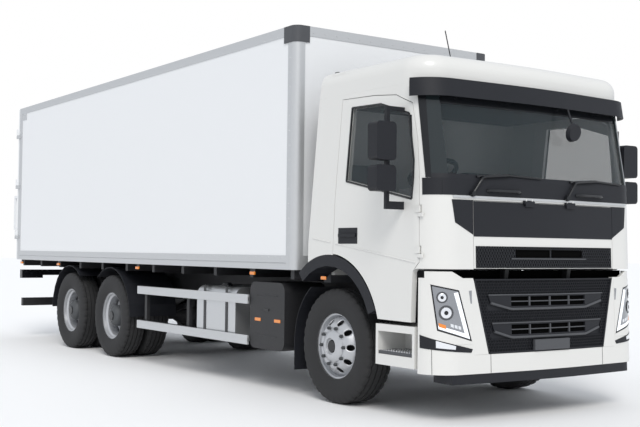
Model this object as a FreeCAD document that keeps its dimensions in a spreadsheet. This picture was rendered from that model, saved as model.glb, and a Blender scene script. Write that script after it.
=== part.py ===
import FreeCAD, Part
import math
import os

import Sketcher
from FreeCAD import Placement, Rotation, Vector

# Rigid box truck with a forward-control tilting cab, a steered front axle, a driven
# rear axle and a tag axle. Millimetres, +Z up, the front points to -Y, the truck's
# right side to -X. The origin is on the ground under the middle of the overall length.

doc = FreeCAD.newDocument("BoxTruck")
sheet = doc.addObject("Spreadsheet::Sheet", "Sizes")


# Every size below goes into the sheet under its own name

# Sizes of the whole vehicle
rear_overhang = 2325
front_overhang = 1541
axle_base = 4825
tag_spacing = 1370
tyre_radius = 518
front_track = 2060
twin_track = 1865
joint_gap = 5
seat_gap = 0.3
shaft_gap = 0.05
overrun = 40

# Sizes of the tyres and rims
front_tyre_width = 300
rear_tyre_width = 275
twin_spacing = 324
bead_radius = 292
rim_flange_radius = 306
rim_flange_thickness = 11
rim_well_radius = 262
rim_well_half_width = 46
rim_disc_thickness = 12
rim_disc_offset = 150
hub_bore_radius = 141
hand_hole_radius = 27
hand_hole_circle_radius = 218

# Sizes of the axles, springs and steering
hub_radius = 152
hub_cap_thickness = 12
front_hub_nose = 40
rear_hub_nose = 190
spindle_radius = 45
brake_drum_radius = 205
brake_drum_length = 170
rear_drum_offset = 75
kingpin_half_track = 885
kingpin_radius = 25
kingpin_boss_radius = 48
kingpin_eye_height = 110
knuckle_fork_height = 60
axle_beam_height = 100
axle_beam_width = 90
axle_beam_drop = 90
axle_tube_radius = 68
differential_radius = 205
differential_length = 330
leaf_spring_half_gauge = 395
leaf_spring_width = 80
leaf_spring_thickness = 45
front_spring_reach = 760
rear_spring_reach = 620
spring_eye_radius = 32
spring_hanger_width = 70

# Sizes of the frame and driveline
frame_half_width = 430
frame_rail_height = 270
frame_rail_flange = 80
frame_rail_thickness = 8
frame_top = 1020
frame_front_reach = 1330
frame_rear_inset = 180
crossmember_radius = 48
rear_member_thickness = 14
rear_member_drop = 60
tow_bolt_radius = 10.5
tow_bolt_spacing_across = 160
tow_bolt_spacing_up = 100
tow_bore_radius = 45
engine_width = 640
engine_length = 1080
engine_height = 640
engine_bottom = 640
engine_front_reach = 860
gearbox_length = 820
gearbox_width = 430
gearbox_height = 430
gearbox_bottom = 640
propshaft_radius = 55
propshaft_flange_radius = 85
propshaft_flange_thickness = 24

# Sizes of the pieces on the frame's sides
side_equipment_half_width = 1215
tank_front_reach = 1690
tank_length = 830
tank_height = 560
tank_depth = 560
tank_bottom = 430
tank_corner_radius = 110
service_box_front_reach = 760
service_box_length = 640
service_box_height = 660
service_box_depth = 480
service_box_bottom = 400
service_box_corner_radius = 90
exhaust_front_reach = 760
exhaust_length = 960
exhaust_height = 640
exhaust_depth = 520
exhaust_bottom = 400
exhaust_corner_radius = 70
air_tank_radius = 120
air_tank_length = 640
air_tank_half_gauge = 200
bracket_thickness = 16
bracket_height = 90
guard_front_reach = 2640
guard_wheel_gap = 317
guard_rail_height = 100
guard_rail_thickness = 25
guard_upper_height = 880
guard_lower_height = 470
guard_post_width = 60
guard_post_thickness = 40
underrun_height = 120
underrun_thickness = 80
underrun_bottom = 480
underrun_half_width = 1180
underrun_inset = 70
underrun_arm_half_gauge = 395
underrun_arm_width = 60
tail_lamp_width = 330
tail_lamp_height = 130
tail_lamp_depth = 90
tail_lamp_bottom = 905

# Sizes of the mudguards
mudguard_thickness = 6
mudguard_clearance = 95
mudguard_half_width = 1240
mudguard_inner_half_width = 600
mudguard_flap_length = 330
mudguard_stay_radius = 18
front_guard_half_width = 1180
front_guard_width = 300
front_guard_clearance = 112
front_flap_bottom = 245
arch_centre_height = 600
arch_inner_radius = 640
arch_outer_radius = 742
arch_trim_thickness = 26
arch_trim_depth = 240

# Sizes of the box body
box_front_reach = 566
box_width = 2500
box_bottom = 1191
box_height = 2339
box_wall_thickness = 30
box_front_wall_thickness = 40
box_roof_thickness = 34
box_floor_thickness = 100
box_lower_rail_height = 136
box_upper_rail_height = 95
box_rail_thickness = 44
box_rail_groove = 6
box_post_width = 110
box_post_length = 130
box_post_radius = 74
corner_cap_width = 160
corner_cap_length = 200
corner_cap_skin = 5
bearer_height = 90
bearer_width = 60
bearer_count = 11
subframe_width = 70
rear_frame_length = 160
rear_post_width = 95
rear_header_height = 150
rear_sill_height = 100
rear_door_thickness = 40
rear_door_gap = 8
rear_hinge_radius = 12
rear_hinge_length = 150
rear_hinge_stand_off = 18
rear_hinge_count = 3
rear_hinge_pin_radius = 6
rear_hinge_pad_length = 60
rear_strap_length = 170
lock_rod_radius = 13
lock_rod_stand_off = 20
lock_rod_inset = 300
lock_keeper_width = 80
lock_keeper_height = 60
grab_handle_reach = 150
grab_handle_height = 530
grab_handle_bottom = 1650
grab_handle_width = 32
grab_handle_bar = 38

# Sizes of the cab
cab_width = 2490
cab_length = 1850
cab_front_reach = 1515
cab_bottom = 800
cab_height = 2205
cab_wall_thickness = 50
cab_corner_radius = 270
cab_bow_radius = 7000
cab_roof_edge_radius = 130
cab_floor_height = 1262
cab_floor_thickness = 34
tunnel_half_width = 430
tunnel_height = 240
cab_panel_bottom = 1240
cab_skirt_bottom = 1150
belt_height = 1972
screen_bottom = 1990
screen_top = 2668
screen_half_width = 1095
glass_thickness = 6
glass_inset = 14
door_gap = 6
door_hinge_half_width = 1243
door_hinge_reach = 1251
door_hinge_radius = 8
door_hinge_pin_radius = 4
door_hinge_length = 90
door_hinge_low = 1330
door_hinge_spacing = 330
door_bottom = 800
door_arch_gap = 12
lid_half_width = 850
lid_bottom = 1246
lid_top = 1800
lid_thickness = 24
lid_hinge_reach = 1493.5
lid_hinge_half_gauge = 250
lid_hinge_length = 80
lid_hinge_pin_radius = 6
lid_hinge_eye_radius = 10
visor_height = 150
visor_bottom = 2640
visor_stand_off = 70
visor_thickness = 14
visor_stay_width = 36
tilt_pivot_reach = 1400
tilt_pivot_height = 1300
tilt_pin_radius = 16
tilt_arm_half_gauge = 380
tilt_arm_width = 44
tilt_arm_reach = 24
tilt_lug_width = 40
cab_support_reach = 150
cab_support_width = 80
seat_half_gauge = 725
seat_width = 500
seat_depth = 480
seat_back_height = 640
seat_thickness = 110
seat_front_reach = 560
seat_height = 1640
dash_depth = 330
dash_height = 330
dash_top = 1900
steering_wheel_radius = 225
steering_rim_radius = 16
steering_column_length = 300
mirror_reach = 355
mirror_front_reach = 1150
mirror_depth = 120
mirror_width = 200
mirror_upper_height = 310
mirror_lower_height = 210
mirror_bottom = 1860
mirror_foot_drop = 140
mirror_edge_radius = 35
mirror_arm_radius = 16

# Sizes of the front end that stays on the chassis
bumper_bottom = 400
bumper_top = 1168
bumper_inset = 8
bumper_rear_reach = 1236
bumper_wall = 40
plate_width = 420
plate_height = 90
plate_bottom = 565
grille_half_width = 850
grille_bottom = 552
grille_top = 1160
grille_thickness = 45
grille_frame_bar = 34
grille_slat_height = 22
grille_slat_count = 7
lip_bottom = 320
lip_depth = 220
lip_half_width = 1065
headlamp_bottom = 650
headlamp_top = 1085
headlamp_depth = 230
step_front_reach = 1195
step_rear_reach = 690
step_bottom = 430
step_top = 770
step_inset = 10
step_depth = 330
step_tread_height = 520
step_wall = 30
intake_width = 240
intake_depth = 110
intake_bottom = 1120
intake_top = 2760
intake_offset = 700
intake_gap = 70


class Size:
    """A length with the sheet expression that it comes from and its present value."""

    def __init__(self, text, value):
        self.text = text
        self.value = value

    def __add__(self, other):
        return Size(f"({self.text} + {text_of(other)})", self.value + value_of(other))

    def __radd__(self, other):
        return Size(f"({text_of(other)} + {self.text})", value_of(other) + self.value)

    def __sub__(self, other):
        return Size(f"({self.text} - {text_of(other)})", self.value - value_of(other))

    def __rsub__(self, other):
        return Size(f"({text_of(other)} - {self.text})", value_of(other) - self.value)

    def __mul__(self, other):
        return Size(f"({self.text} * {text_of(other)})", self.value * value_of(other))

    def __rmul__(self, other):
        return Size(f"({text_of(other)} * {self.text})", value_of(other) * self.value)

    def __truediv__(self, other):
        return Size(f"({self.text} / {text_of(other)})", self.value / value_of(other))

    def __neg__(self):
        return Size(f"(0 - {self.text})", -self.value)


def text_of(item):
    """The sheet expression of a size or of a plain share."""
    return item.text if isinstance(item, Size) else repr(float(item))


def value_of(item):
    """The present value of a size or of a plain share."""
    return item.value if isinstance(item, Size) else float(item)


class SizeSheet:
    """Writes each driving dimension to its own cell and keeps it as an attribute."""

    def __init__(self):
        self.row = 0

    def add(self, alias, value):
        self.row += 1
        sheet.set(f"A{self.row}", alias.replace("_", " "))
        sheet.set(f"B{self.row}", str(value))
        sheet.setAlias(f"B{self.row}", alias)
        setattr(self, alias, Size(f"Sizes.{alias}", float(value)))


s = SizeSheet()
for alias, value in list(globals().items()):
    if type(value) in (int, float):
        s.add(alias, value)

# Places that follow from the sizes
overall_length = s.front_overhang + s.axle_base + s.tag_spacing + s.rear_overhang
front_axle_y = s.front_overhang - overall_length / 2
drive_axle_y = front_axle_y + s.axle_base
tag_axle_y = drive_axle_y + s.tag_spacing
box_front_y = front_axle_y + s.box_front_reach
box_rear_y = overall_length / 2 - s.grab_handle_reach
box_top = s.box_bottom + s.box_height
box_half = s.box_width / 2
cab_half = s.cab_width / 2
cab_front_y = front_axle_y - s.cab_front_reach
frame_rear_y = box_rear_y - s.frame_rear_inset
frame_bottom = s.frame_top - s.frame_rail_height
axle_height = s.tyre_radius
rear_pin_x = -box_half - s.rear_hinge_radius
rear_pin_y = box_rear_y + s.rear_hinge_stand_off
tilt_y = front_axle_y - s.tilt_pivot_reach
tilt_z = s.tilt_pivot_height
rail_front_y = front_axle_y - s.frame_front_reach

nodes = {}


# Drawing and solid helpers


def named(obj, label):
    """Marks an object as a finished piece: its Label is the name of its file."""
    obj.Label = label
    nodes[label] = obj
    return obj


def bind(obj, **lengths):
    """Binds properties of an object to sheet expressions."""
    for key, length in lengths.items():
        obj.setExpression(key, text_of(length))


def place(obj, x, y, z, turn=None):
    """Binds the object's place to three sizes, turned by a fixed rotation if one is given."""
    if turn is not None:
        obj.Placement = Placement(Vector(), turn)
    for key, length in (("x", x), ("y", y), ("z", z)):
        obj.setExpression(f".Placement.Base.{key}", text_of(length))
    return obj


def box(x_span, y_span, z_span):
    """A block between two sizes along each axis."""
    block = doc.addObject("Part::Box", "Block")
    bind(block, Length=x_span[1] - x_span[0], Width=y_span[1] - y_span[0], Height=z_span[1] - z_span[0])
    return place(block, x_span[0], y_span[0], z_span[0])


turns = {
    "X": Rotation(Vector(0, 1, 0), 90),
    "Y": Rotation(Vector(1, 0, 0), -90),
    "Z": Rotation(),
}


def rod(axis, radius, span, centre, sides=0):
    """A round bar along an axis, or a regular prism where a number of sides is given."""
    kind = "Part::Prism" if sides else "Part::Cylinder"
    bar = doc.addObject(kind, "Bar")
    turn = turns[axis]
    if sides:
        bar.Polygon = sides
        bind(bar, Circumradius=radius, Height=span[1] - span[0])
        turn = turn * Rotation(Vector(0, 0, 1), 180.0 / sides)
    else:
        bind(bar, Radius=radius, Height=span[1] - span[0])
    spots = {
        "X": (span[0], centre[0], centre[1]),
        "Y": (centre[0], span[0], centre[1]),
        "Z": (centre[0], centre[1], span[0]),
    }
    return place(bar, *spots[axis], turn)


def fuse(*pieces):
    """Joins pieces that overlap or touch into one solid."""
    joined = doc.addObject("Part::MultiFuse", "Joined")
    joined.Shapes = list(pieces)
    return joined


def cut(base, *tools):
    """Takes one or more tools away from a base."""
    hollowed = doc.addObject("Part::Cut", "Hollowed")
    hollowed.Base = base
    hollowed.Tool = tools[0] if len(tools) == 1 else fuse(*tools)
    return hollowed


def common(*pieces):
    """Keeps what the pieces share."""
    shared = doc.addObject("Part::MultiCommon", "Shared")
    shared.Shapes = list(pieces)
    return shared


def group(*pieces):
    """Keeps pieces together as they are."""
    together = doc.addObject("Part::Compound", "Together")
    together.Links = list(pieces)
    return together


def mirrored(piece):
    """The same piece on the other side of the vehicle's middle plane."""
    twin = doc.addObject("Part::Mirroring", "Twin")
    twin.Source = piece
    twin.Normal = Vector(1, 0, 0)
    return twin


def pair(piece):
    """A piece with its mirror twin, which it doesn't touch."""
    return group(piece, mirrored(piece))


def across(piece):
    """A piece joined to its mirror twin, which it meets at the middle plane."""
    return fuse(piece, mirrored(piece))


def copy_at(piece, x, y, z):
    """A linked copy of a piece, moved by three sizes."""
    clone = doc.addObject("Part::Compound", "Copy")
    clone.Links = [piece]
    return place(clone, x, y, z)


def corner_arc(points, index):
    """Tangent points, middle and sweep of the arc that rounds one corner of an outline."""
    here = Vector(value_of(points[index][0]), value_of(points[index][1]), 0)
    before = Vector(value_of(points[index - 1][0]), value_of(points[index - 1][1]), 0)
    following = points[(index + 1) % len(points)]
    after = Vector(value_of(following[0]), value_of(following[1]), 0)
    back = (before - here).normalize()
    on = (after - here).normalize()
    half = back.getAngle(on) / 2
    radius = value_of(points[index][2])
    reach = radius / math.tan(half)
    middle = here + (back + on).normalize() * (radius / math.sin(half))
    return here + back * reach, here + on * reach, middle


def draw(sketch, points):
    """Draws a closed outline. A point is (across, up) or (across, up, corner radius), in sizes."""
    places = []
    for index, point in enumerate(points):
        if len(point) == 3:
            places.append(corner_arc(points, index))
        else:
            spot = Vector(value_of(point[0]), value_of(point[1]), 0)
            places.append((spot, spot, None))
    count = len(points)
    start = sketch.GeometryCount
    lines = []
    for index in range(count):
        line = Part.LineSegment(places[index][1], places[(index + 1) % count][0])
        lines.append(sketch.addGeometry(line, False))
    rules = []
    bound = []

    def rule(*terms, size=None):
        if size is not None:
            bound.append((len(rules), size))
            terms = terms + (value_of(size),)
        rules.append(Sketcher.Constraint(*terms))

    for index, point in enumerate(points):
        line_before = lines[index - 1]
        line_after = lines[index]
        if places[index][2] is None:
            rule("Coincident", line_before, 2, line_after, 1)
            corner = (line_after, 1)
        else:
            first, last, middle = places[index]
            swing = (first + last) * 0.5 - middle
            top = middle + swing.normalize() * value_of(point[2])
            arc = sketch.addGeometry(Part.Arc(first, top, last), False)
            turn_left = (first - middle).cross(last - middle).z > 0
            arc_start, arc_end = (1, 2) if turn_left else (2, 1)
            rule("Tangent", line_before, 2, arc, arc_start)
            rule("Tangent", arc, arc_end, line_after, 1)
            rule("Radius", arc, size=point[2])
            spot = Vector(value_of(point[0]), value_of(point[1]), 0)
            mark = sketch.addGeometry(Part.Point(spot), True)
            rule("PointOnObject", mark, 1, line_before)
            rule("PointOnObject", mark, 1, line_after)
            corner = (mark, 1)
        rule("DistanceX", -1, 1, *corner, size=point[0])
        rule("DistanceY", -1, 1, *corner, size=point[1])
    numbers = sketch.addConstraint(rules)
    for place_in_list, size in bound:
        if isinstance(size, Size):
            sketch.setExpression(f"Constraints[{numbers[place_in_list]}]", size.text)
    return start


def sketch_on(body, plane, offset):
    """A sketch on one of the body's own origin planes, moved along the plane's normal."""
    sketch = body.newObject("Sketcher::SketchObject", "Outline")
    face = next(item for item in body.Origin.OriginFeatures if item.Role == f"{plane}_Plane")
    sketch.AttachmentSupport = [(face, "")]
    sketch.MapMode = "FlatFace"
    sketch.setExpression("AttachmentOffset.Base.z", text_of(offset))
    return sketch


def prism(plane, span, *outlines):
    """A body padded from an outline, and from any holes in it, between two sizes.

    On plane YZ the outline is in (Y, Z) and the span along X, on XZ it is in (X, Z) and
    the span along Y, and on XY it is in (X, Y) and the span along Z.
    """
    body = doc.addObject("PartDesign::Body", "Piece")
    offset = -span[1] if plane == "XZ" else span[0]
    sketch = sketch_on(body, plane, offset)
    for points in outlines:
        draw(sketch, points)
    pad = body.newObject("PartDesign::Pad", "Thickness")
    pad.Profile = sketch
    bind(pad, Length=span[1] - span[0])
    sketch.Visibility = False
    return body


def rectangle(across_span, up_span, radius=None):
    """The four corners of a rectangle, rounded where a radius is given."""
    corners = (
        (across_span[0], up_span[0]),
        (across_span[1], up_span[0]),
        (across_span[1], up_span[1]),
        (across_span[0], up_span[1]),
    )
    return [corner + (radius,) for corner in corners] if radius is not None else list(corners)


def ring(sides, profile, inscribed=False):
    """A faceted solid of revolution about X, closed round its bore.

    The profile is a closed outline of (along X, radius). The flat facets touch each circle
    from outside, or lie inside it with their corners on it where the ring is inscribed.
    """
    points = [(value_of(along), value_of(apothem)) for along, apothem in profile]
    area = sum(a[0] * b[1] - b[0] * a[1] for a, b in zip(points, points[1:] + points[:1]))
    if area > 0:
        points.reverse()
    corners = []
    for along, apothem in points:
        reach = apothem if inscribed else apothem / math.cos(math.pi / sides)
        loop = []
        for number in range(sides):
            angle = math.pi * (2 * number + 1) / sides
            loop.append(Vector(along, reach * math.sin(angle), reach * math.cos(angle)))
        corners.append(loop)
    faces = []
    for index, loop in enumerate(corners):
        beyond = corners[(index + 1) % len(corners)]
        for number in range(sides):
            after = (number + 1) % sides
            facet = (loop[number], loop[after], beyond[after], beyond[number], loop[number])
            faces.append(Part.Face(Part.makePolygon(facet)))
    holder = doc.addObject("Part::Feature", "Ring")
    holder.Shape = Part.Solid(Part.makeShell(faces))
    return holder


# Wheels

tyre_sides = 28
band_facets = 9
rim_sides = 20
rear_rim_sides = 18
hub_sides = 12
round_sides = 12
hand_hole_count = 10

# Half sections of a tyre: share of its half width, and share of the way from bead to tread
tyre_section_shares = (
    (-0.72, 0.0),
    (-1.0, 0.47),
    (-0.80, 1.0),
    (0.80, 1.0),
    (1.0, 0.47),
    (0.72, 0.0),
)


def tyre_at(middle, width, axle_y):
    """One tyre, from bead to bead over its side walls and tread."""
    rise = s.tyre_radius - s.bead_radius
    profile = [
        (middle + across_share * width / 2, s.bead_radius + rise * up_share)
        for across_share, up_share in tyre_section_shares
    ]
    return place(ring(tyre_sides, profile), 0, axle_y, axle_height)


def rim_at(middle, width, axle_y, disc_side, disc, sides):
    """One rim: a drop-centre barrel with flanges and a dished disc round the hub's bore."""
    seat = width / 2 * tyre_section_shares[-1][0]
    flange = seat + s.rim_flange_thickness
    wall = s.rim_disc_thickness
    bead = s.bead_radius - s.seat_gap
    well = s.rim_well_radius
    slope = s.hand_hole_circle_radius - s.hand_hole_radius - wall
    profile = [
        (-flange, s.rim_flange_radius),
        (-seat, bead),
        (-s.rim_well_half_width, well),
        (s.rim_well_half_width, well),
        (seat, bead),
        (flange, s.rim_flange_radius),
        (flange, bead - wall),
        (disc, slope),
        (disc, s.hub_bore_radius),
        (disc - wall, s.hub_bore_radius),
        (disc - wall, slope - wall),
        (s.rim_well_half_width, well - wall),
        (-s.rim_well_half_width, well - wall),
        (-flange, bead - wall),
    ]
    placed = [(middle + disc_side * along, radius) for along, radius in profile]
    return place(ring(sides, placed, inscribed=True), 0, axle_y, axle_height)


def hand_holes(middle, axle_y):
    """Round openings through a wheel's disc, drawn as hexagonal bars."""
    tools = []
    span = (middle - s.rim_disc_offset * 2, middle)
    for number in range(hand_hole_count):
        angle = math.tau * (number + 1 / 2) / hand_hole_count
        spot = (
            axle_y + s.hand_hole_circle_radius * math.sin(angle),
            axle_height + s.hand_hole_circle_radius * math.cos(angle),
        )
        tools.append(rod("X", s.hand_hole_radius, span, spot, sides=6))
    return tools


def wheel_hub(outer_end, inner_end, axle_y):
    """A hub that fills the disc's bore, with a blind bore for the spindle."""
    centre = (axle_y, axle_height)
    hub = rod("X", s.hub_radius, (outer_end, inner_end), centre, sides=hub_sides)
    bore = rod(
        "X",
        s.spindle_radius + s.shaft_gap,
        (outer_end + s.hub_cap_thickness, inner_end + s.overrun),
        centre,
    )
    return hub, bore


def build_wheels():
    """Two single front wheels and four twin wheels, right side first."""
    middle = -s.front_track / 2
    tyre = tyre_at(middle, s.front_tyre_width, front_axle_y)
    rim = rim_at(middle, s.front_tyre_width, front_axle_y, -1, s.rim_disc_offset, rim_sides)
    drum_end = -s.kingpin_half_track - s.kingpin_boss_radius - s.joint_gap - s.brake_drum_length
    disc_plane = middle - s.rim_disc_offset
    hub, bore = wheel_hub(disc_plane - s.front_hub_nose, drum_end - s.joint_gap, front_axle_y)
    front_wheel = cut(fuse(rim, hub), bore, *hand_holes(middle, front_axle_y))
    named(tyre, "tyre_front_right")
    named(mirrored(tyre), "tyre_front_left")
    named(front_wheel, "rim_front_right")
    named(mirrored(front_wheel), "rim_front_left")
    outer = -(s.twin_track + s.twin_spacing) / 2
    inner = -(s.twin_track - s.twin_spacing) / 2
    width = s.rear_tyre_width
    disc_plane = -s.twin_track / 2
    for axle, axle_y in (("drive", drive_axle_y), ("tag", tag_axle_y)):
        tyres = group(tyre_at(outer, width, axle_y), tyre_at(inner, width, axle_y))
        outer_rim = rim_at(outer, width, axle_y, 1, s.twin_spacing / 2, rear_rim_sides)
        inner_rim = rim_at(inner, width, axle_y, -1, s.twin_spacing / 2, rear_rim_sides)
        hub, bore = wheel_hub(disc_plane - s.rear_hub_nose, disc_plane + s.rim_disc_thickness, axle_y)
        rims = cut(fuse(outer_rim, inner_rim, hub), bore)
        named(tyres, f"tyres_{axle}_right")
        named(mirrored(tyres), f"tyres_{axle}_left")
        named(rims, f"rims_{axle}_right")
        named(mirrored(rims), f"rims_{axle}_left")


# Axles and steering


def build_front_axle():
    """A forged beam with kingpin eyes, on two leaf springs with hangers."""
    kingpin = -s.kingpin_half_track
    eye_low = axle_height - s.kingpin_eye_height / 2
    eye_high = axle_height + s.kingpin_eye_height / 2
    half_width = s.axle_beam_width / 2
    beam_top = axle_height - s.axle_beam_drop / 2
    beam_low = beam_top - s.axle_beam_height
    bend = kingpin + s.kingpin_boss_radius + s.axle_beam_height
    beam = prism(
        "XZ",
        (front_axle_y - half_width, front_axle_y + half_width),
        [
            (kingpin, eye_low),
            (kingpin + s.kingpin_boss_radius + s.joint_gap, eye_low),
            (bend, beam_low),
            (0, beam_low),
            (0, beam_top),
            (bend, beam_top),
            (kingpin + s.kingpin_boss_radius + s.joint_gap, eye_high),
            (kingpin, eye_high),
        ],
    )
    boss = rod("Z", s.kingpin_boss_radius, (eye_low, eye_high), (kingpin, front_axle_y), sides=round_sides)
    bore = rod("Z", s.kingpin_radius + s.shaft_gap, (eye_low, eye_high), (kingpin, front_axle_y))
    spring = leaf_spring(front_axle_y, s.front_spring_reach, beam_top)
    half = cut(fuse(beam, boss, spring), bore)
    named(across(half), "front_axle")


def leaf_spring(axle_y, reach, seat_height):
    """A bowed leaf spring whose ends hang from the frame rail on hangers."""
    low = -s.leaf_spring_half_gauge - s.leaf_spring_width / 2
    high = -s.leaf_spring_half_gauge + s.leaf_spring_width / 2
    end_height = seat_height + (frame_bottom - seat_height) / 2
    leaf = s.leaf_spring_thickness
    blade = prism(
        "YZ",
        (low, high),
        [
            (axle_y - reach, end_height),
            (axle_y - reach / 4, seat_height),
            (axle_y + reach / 4, seat_height),
            (axle_y + reach, end_height),
            (axle_y + reach, end_height + leaf),
            (axle_y + reach / 4, seat_height + leaf * 2),
            (axle_y - reach / 4, seat_height + leaf * 2),
            (axle_y - reach, end_height + leaf),
        ],
    )
    pieces = [blade]
    for side in (-1, 1):
        middle = axle_y + side * reach
        half = s.spring_hanger_width / 2
        pieces.append(box((low, high), (middle - half, middle + half), (end_height, frame_bottom)))
    return fuse(*pieces)


def build_knuckles():
    """A fork round the kingpin eye with its pin, brake drum and hub."""
    kingpin = -s.kingpin_half_track
    eye_low = axle_height - s.kingpin_eye_height / 2 - s.seat_gap
    eye_high = axle_height + s.kingpin_eye_height / 2 + s.seat_gap
    drum_inner = kingpin - s.kingpin_boss_radius - s.joint_gap
    drum_outer = drum_inner - s.brake_drum_length
    centre = (front_axle_y, axle_height)
    pin = rod(
        "Z",
        s.kingpin_radius,
        (eye_low - s.knuckle_fork_height, eye_high + s.knuckle_fork_height),
        (kingpin, front_axle_y),
    )
    pieces = [pin]
    half = s.kingpin_boss_radius
    for low in (eye_low - s.knuckle_fork_height, eye_high):
        high = low + s.knuckle_fork_height
        fork_y = (front_axle_y - half, front_axle_y + half)
        pieces.append(box((drum_inner - s.seat_gap, kingpin), fork_y, (low, high)))
        pieces.append(rod("Z", half, (low, high), (kingpin, front_axle_y), sides=round_sides))
    pieces.append(rod("X", s.brake_drum_radius, (drum_outer, drum_inner), centre, sides=rim_sides))
    spindle_end = -s.front_track / 2 - s.rim_disc_offset
    pieces.append(rod("X", s.spindle_radius, (spindle_end, drum_outer), centre))
    knuckle = fuse(*pieces)
    named(knuckle, "knuckle_right")
    named(mirrored(knuckle), "knuckle_left")


def build_rear_axles():
    """Drive axle with its differential and tag axle tube, each on leaf springs."""
    end = -(s.twin_track - s.twin_spacing) / 2 + s.rear_tyre_width / 2
    halves = []
    for axle_y, driven in ((drive_axle_y, True), (tag_axle_y, False)):
        centre = (axle_y, axle_height)
        drum_outer = -s.twin_track / 2 + s.rear_drum_offset
        tube = rod("X", s.axle_tube_radius, (end - s.overrun, 0), centre, sides=round_sides)
        drum = rod("X", s.brake_drum_radius, (drum_outer, end), centre, sides=rear_rim_sides)
        spindle_end = -s.twin_track / 2 - s.rear_hub_nose * 3 / 4
        spindle = rod("X", s.spindle_radius, (spindle_end, drum_outer), centre)
        pieces = [tube, drum, spindle, leaf_spring(axle_y, s.rear_spring_reach, axle_height + s.axle_tube_radius / 2)]
        if driven:
            waist = s.axle_tube_radius / 2
            bulge = ring(
                rear_rim_sides,
                (
                    (-s.differential_length, waist),
                    (-s.differential_length, s.axle_tube_radius),
                    (-s.differential_length / 3, s.differential_radius),
                    (s.differential_length / 3, s.differential_radius),
                    (s.differential_length, s.axle_tube_radius),
                    (s.differential_length, waist),
                ),
            )
            pieces.append(place(bulge, 0, axle_y, axle_height))
            nose = rod(
                "Y",
                s.propshaft_flange_radius,
                (axle_y - s.differential_length, axle_y),
                (0, axle_height),
                sides=12,
            )
            pieces.append(nose)
        halves.append(across(fuse(*pieces)))
    named(group(*halves), "rear_axles")


# Frame and driveline


def frame_rail():
    """One channel rail: a web outside and two flanges that point inwards."""
    outer = -s.frame_half_width
    wall = s.frame_rail_thickness
    inner = outer + s.frame_rail_flange
    return prism(
        "XZ",
        (rail_front_y, frame_rear_y),
        [
            (outer, frame_bottom),
            (inner, frame_bottom),
            (inner, frame_bottom + wall),
            (outer + wall, frame_bottom + wall),
            (outer + wall, s.frame_top - wall),
            (inner, s.frame_top - wall),
            (inner, s.frame_top),
            (outer, s.frame_top),
        ],
    )


def cab_mounts():
    """Right-hand tilt arm with its pin, drop bracket for the bumper and rear cab support."""
    half = s.tilt_arm_reach
    arm_x = (-s.tilt_arm_half_gauge - s.tilt_arm_width / 2, -s.tilt_arm_half_gauge + s.tilt_arm_width / 2)
    arm = prism(
        "YZ",
        arm_x,
        [
            (rail_front_y, s.frame_top - s.bracket_height),
            (tilt_y + half, tilt_z - half * 5 / 2),
            (tilt_y - half, tilt_z - half),
            (tilt_y - half, tilt_z + half),
            (tilt_y + half, tilt_z + half),
            (rail_front_y + s.frame_rail_height, s.frame_top),
            (rail_front_y + s.frame_rail_height, s.frame_top - s.bracket_height),
        ],
    )
    pin_end = arm_x[1] + s.joint_gap + s.tilt_lug_width + s.joint_gap
    pin = rod("X", s.tilt_pin_radius, (arm_x[0], pin_end), (tilt_y, tilt_z))
    drop = box(
        (-s.frame_half_width, -s.frame_half_width + s.frame_rail_flange),
        (rail_front_y, rail_front_y + s.frame_rail_flange),
        (s.bumper_bottom + s.bumper_wall, frame_bottom + s.frame_rail_flange),
    )
    support = box(
        (-s.frame_half_width - s.cab_support_width, -s.frame_half_width + s.frame_rail_flange / 2),
        (front_axle_y + s.cab_support_reach, front_axle_y + s.cab_support_reach + s.cab_support_width),
        (s.frame_top, s.cab_floor_height - s.cab_floor_thickness - s.joint_gap),
    )
    return arm, pin, drop, support


def build_frame():
    """Two channel rails with tube crossmembers and a drilled rear crossmember."""
    wall = s.frame_rail_thickness
    pieces = [frame_rail()]
    middle_height = s.frame_top - s.frame_rail_height / 2
    places = (
        rail_front_y + s.crossmember_radius * 2,
        front_axle_y + s.axle_base / 2,
        drive_axle_y - s.rear_spring_reach,
        tag_axle_y + s.rear_spring_reach,
    )
    for along in places:
        span = (-s.frame_half_width + wall / 2, 0)
        pieces.append(rod("X", s.crossmember_radius, span, (along, middle_height), sides=round_sides))
    low = frame_bottom - s.rear_member_drop
    plate = box(
        (-s.frame_half_width, 0),
        (frame_rear_y - s.rear_member_thickness, frame_rear_y),
        (low, s.frame_top),
    )
    front_plate = box(
        (-s.frame_half_width, 0),
        (rail_front_y, rail_front_y + s.rear_member_thickness),
        (frame_bottom, s.frame_top),
    )
    frame = across(fuse(*pieces, plate, front_plate, *cab_mounts()))
    holes = []
    start = frame_rear_y - s.overrun
    end = frame_rear_y + s.overrun
    for side in (-1, 1):
        for level in (-1, 1):
            spot = (side * s.tow_bolt_spacing_across / 2, middle_height + level * s.tow_bolt_spacing_up / 2)
            holes.append(rod("Y", s.tow_bolt_radius, (start, end), spot))
    holes.append(rod("Y", s.tow_bore_radius / 2, (start, end), (0, middle_height)))
    named(cut(frame, *holes), "chassis_frame")


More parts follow.
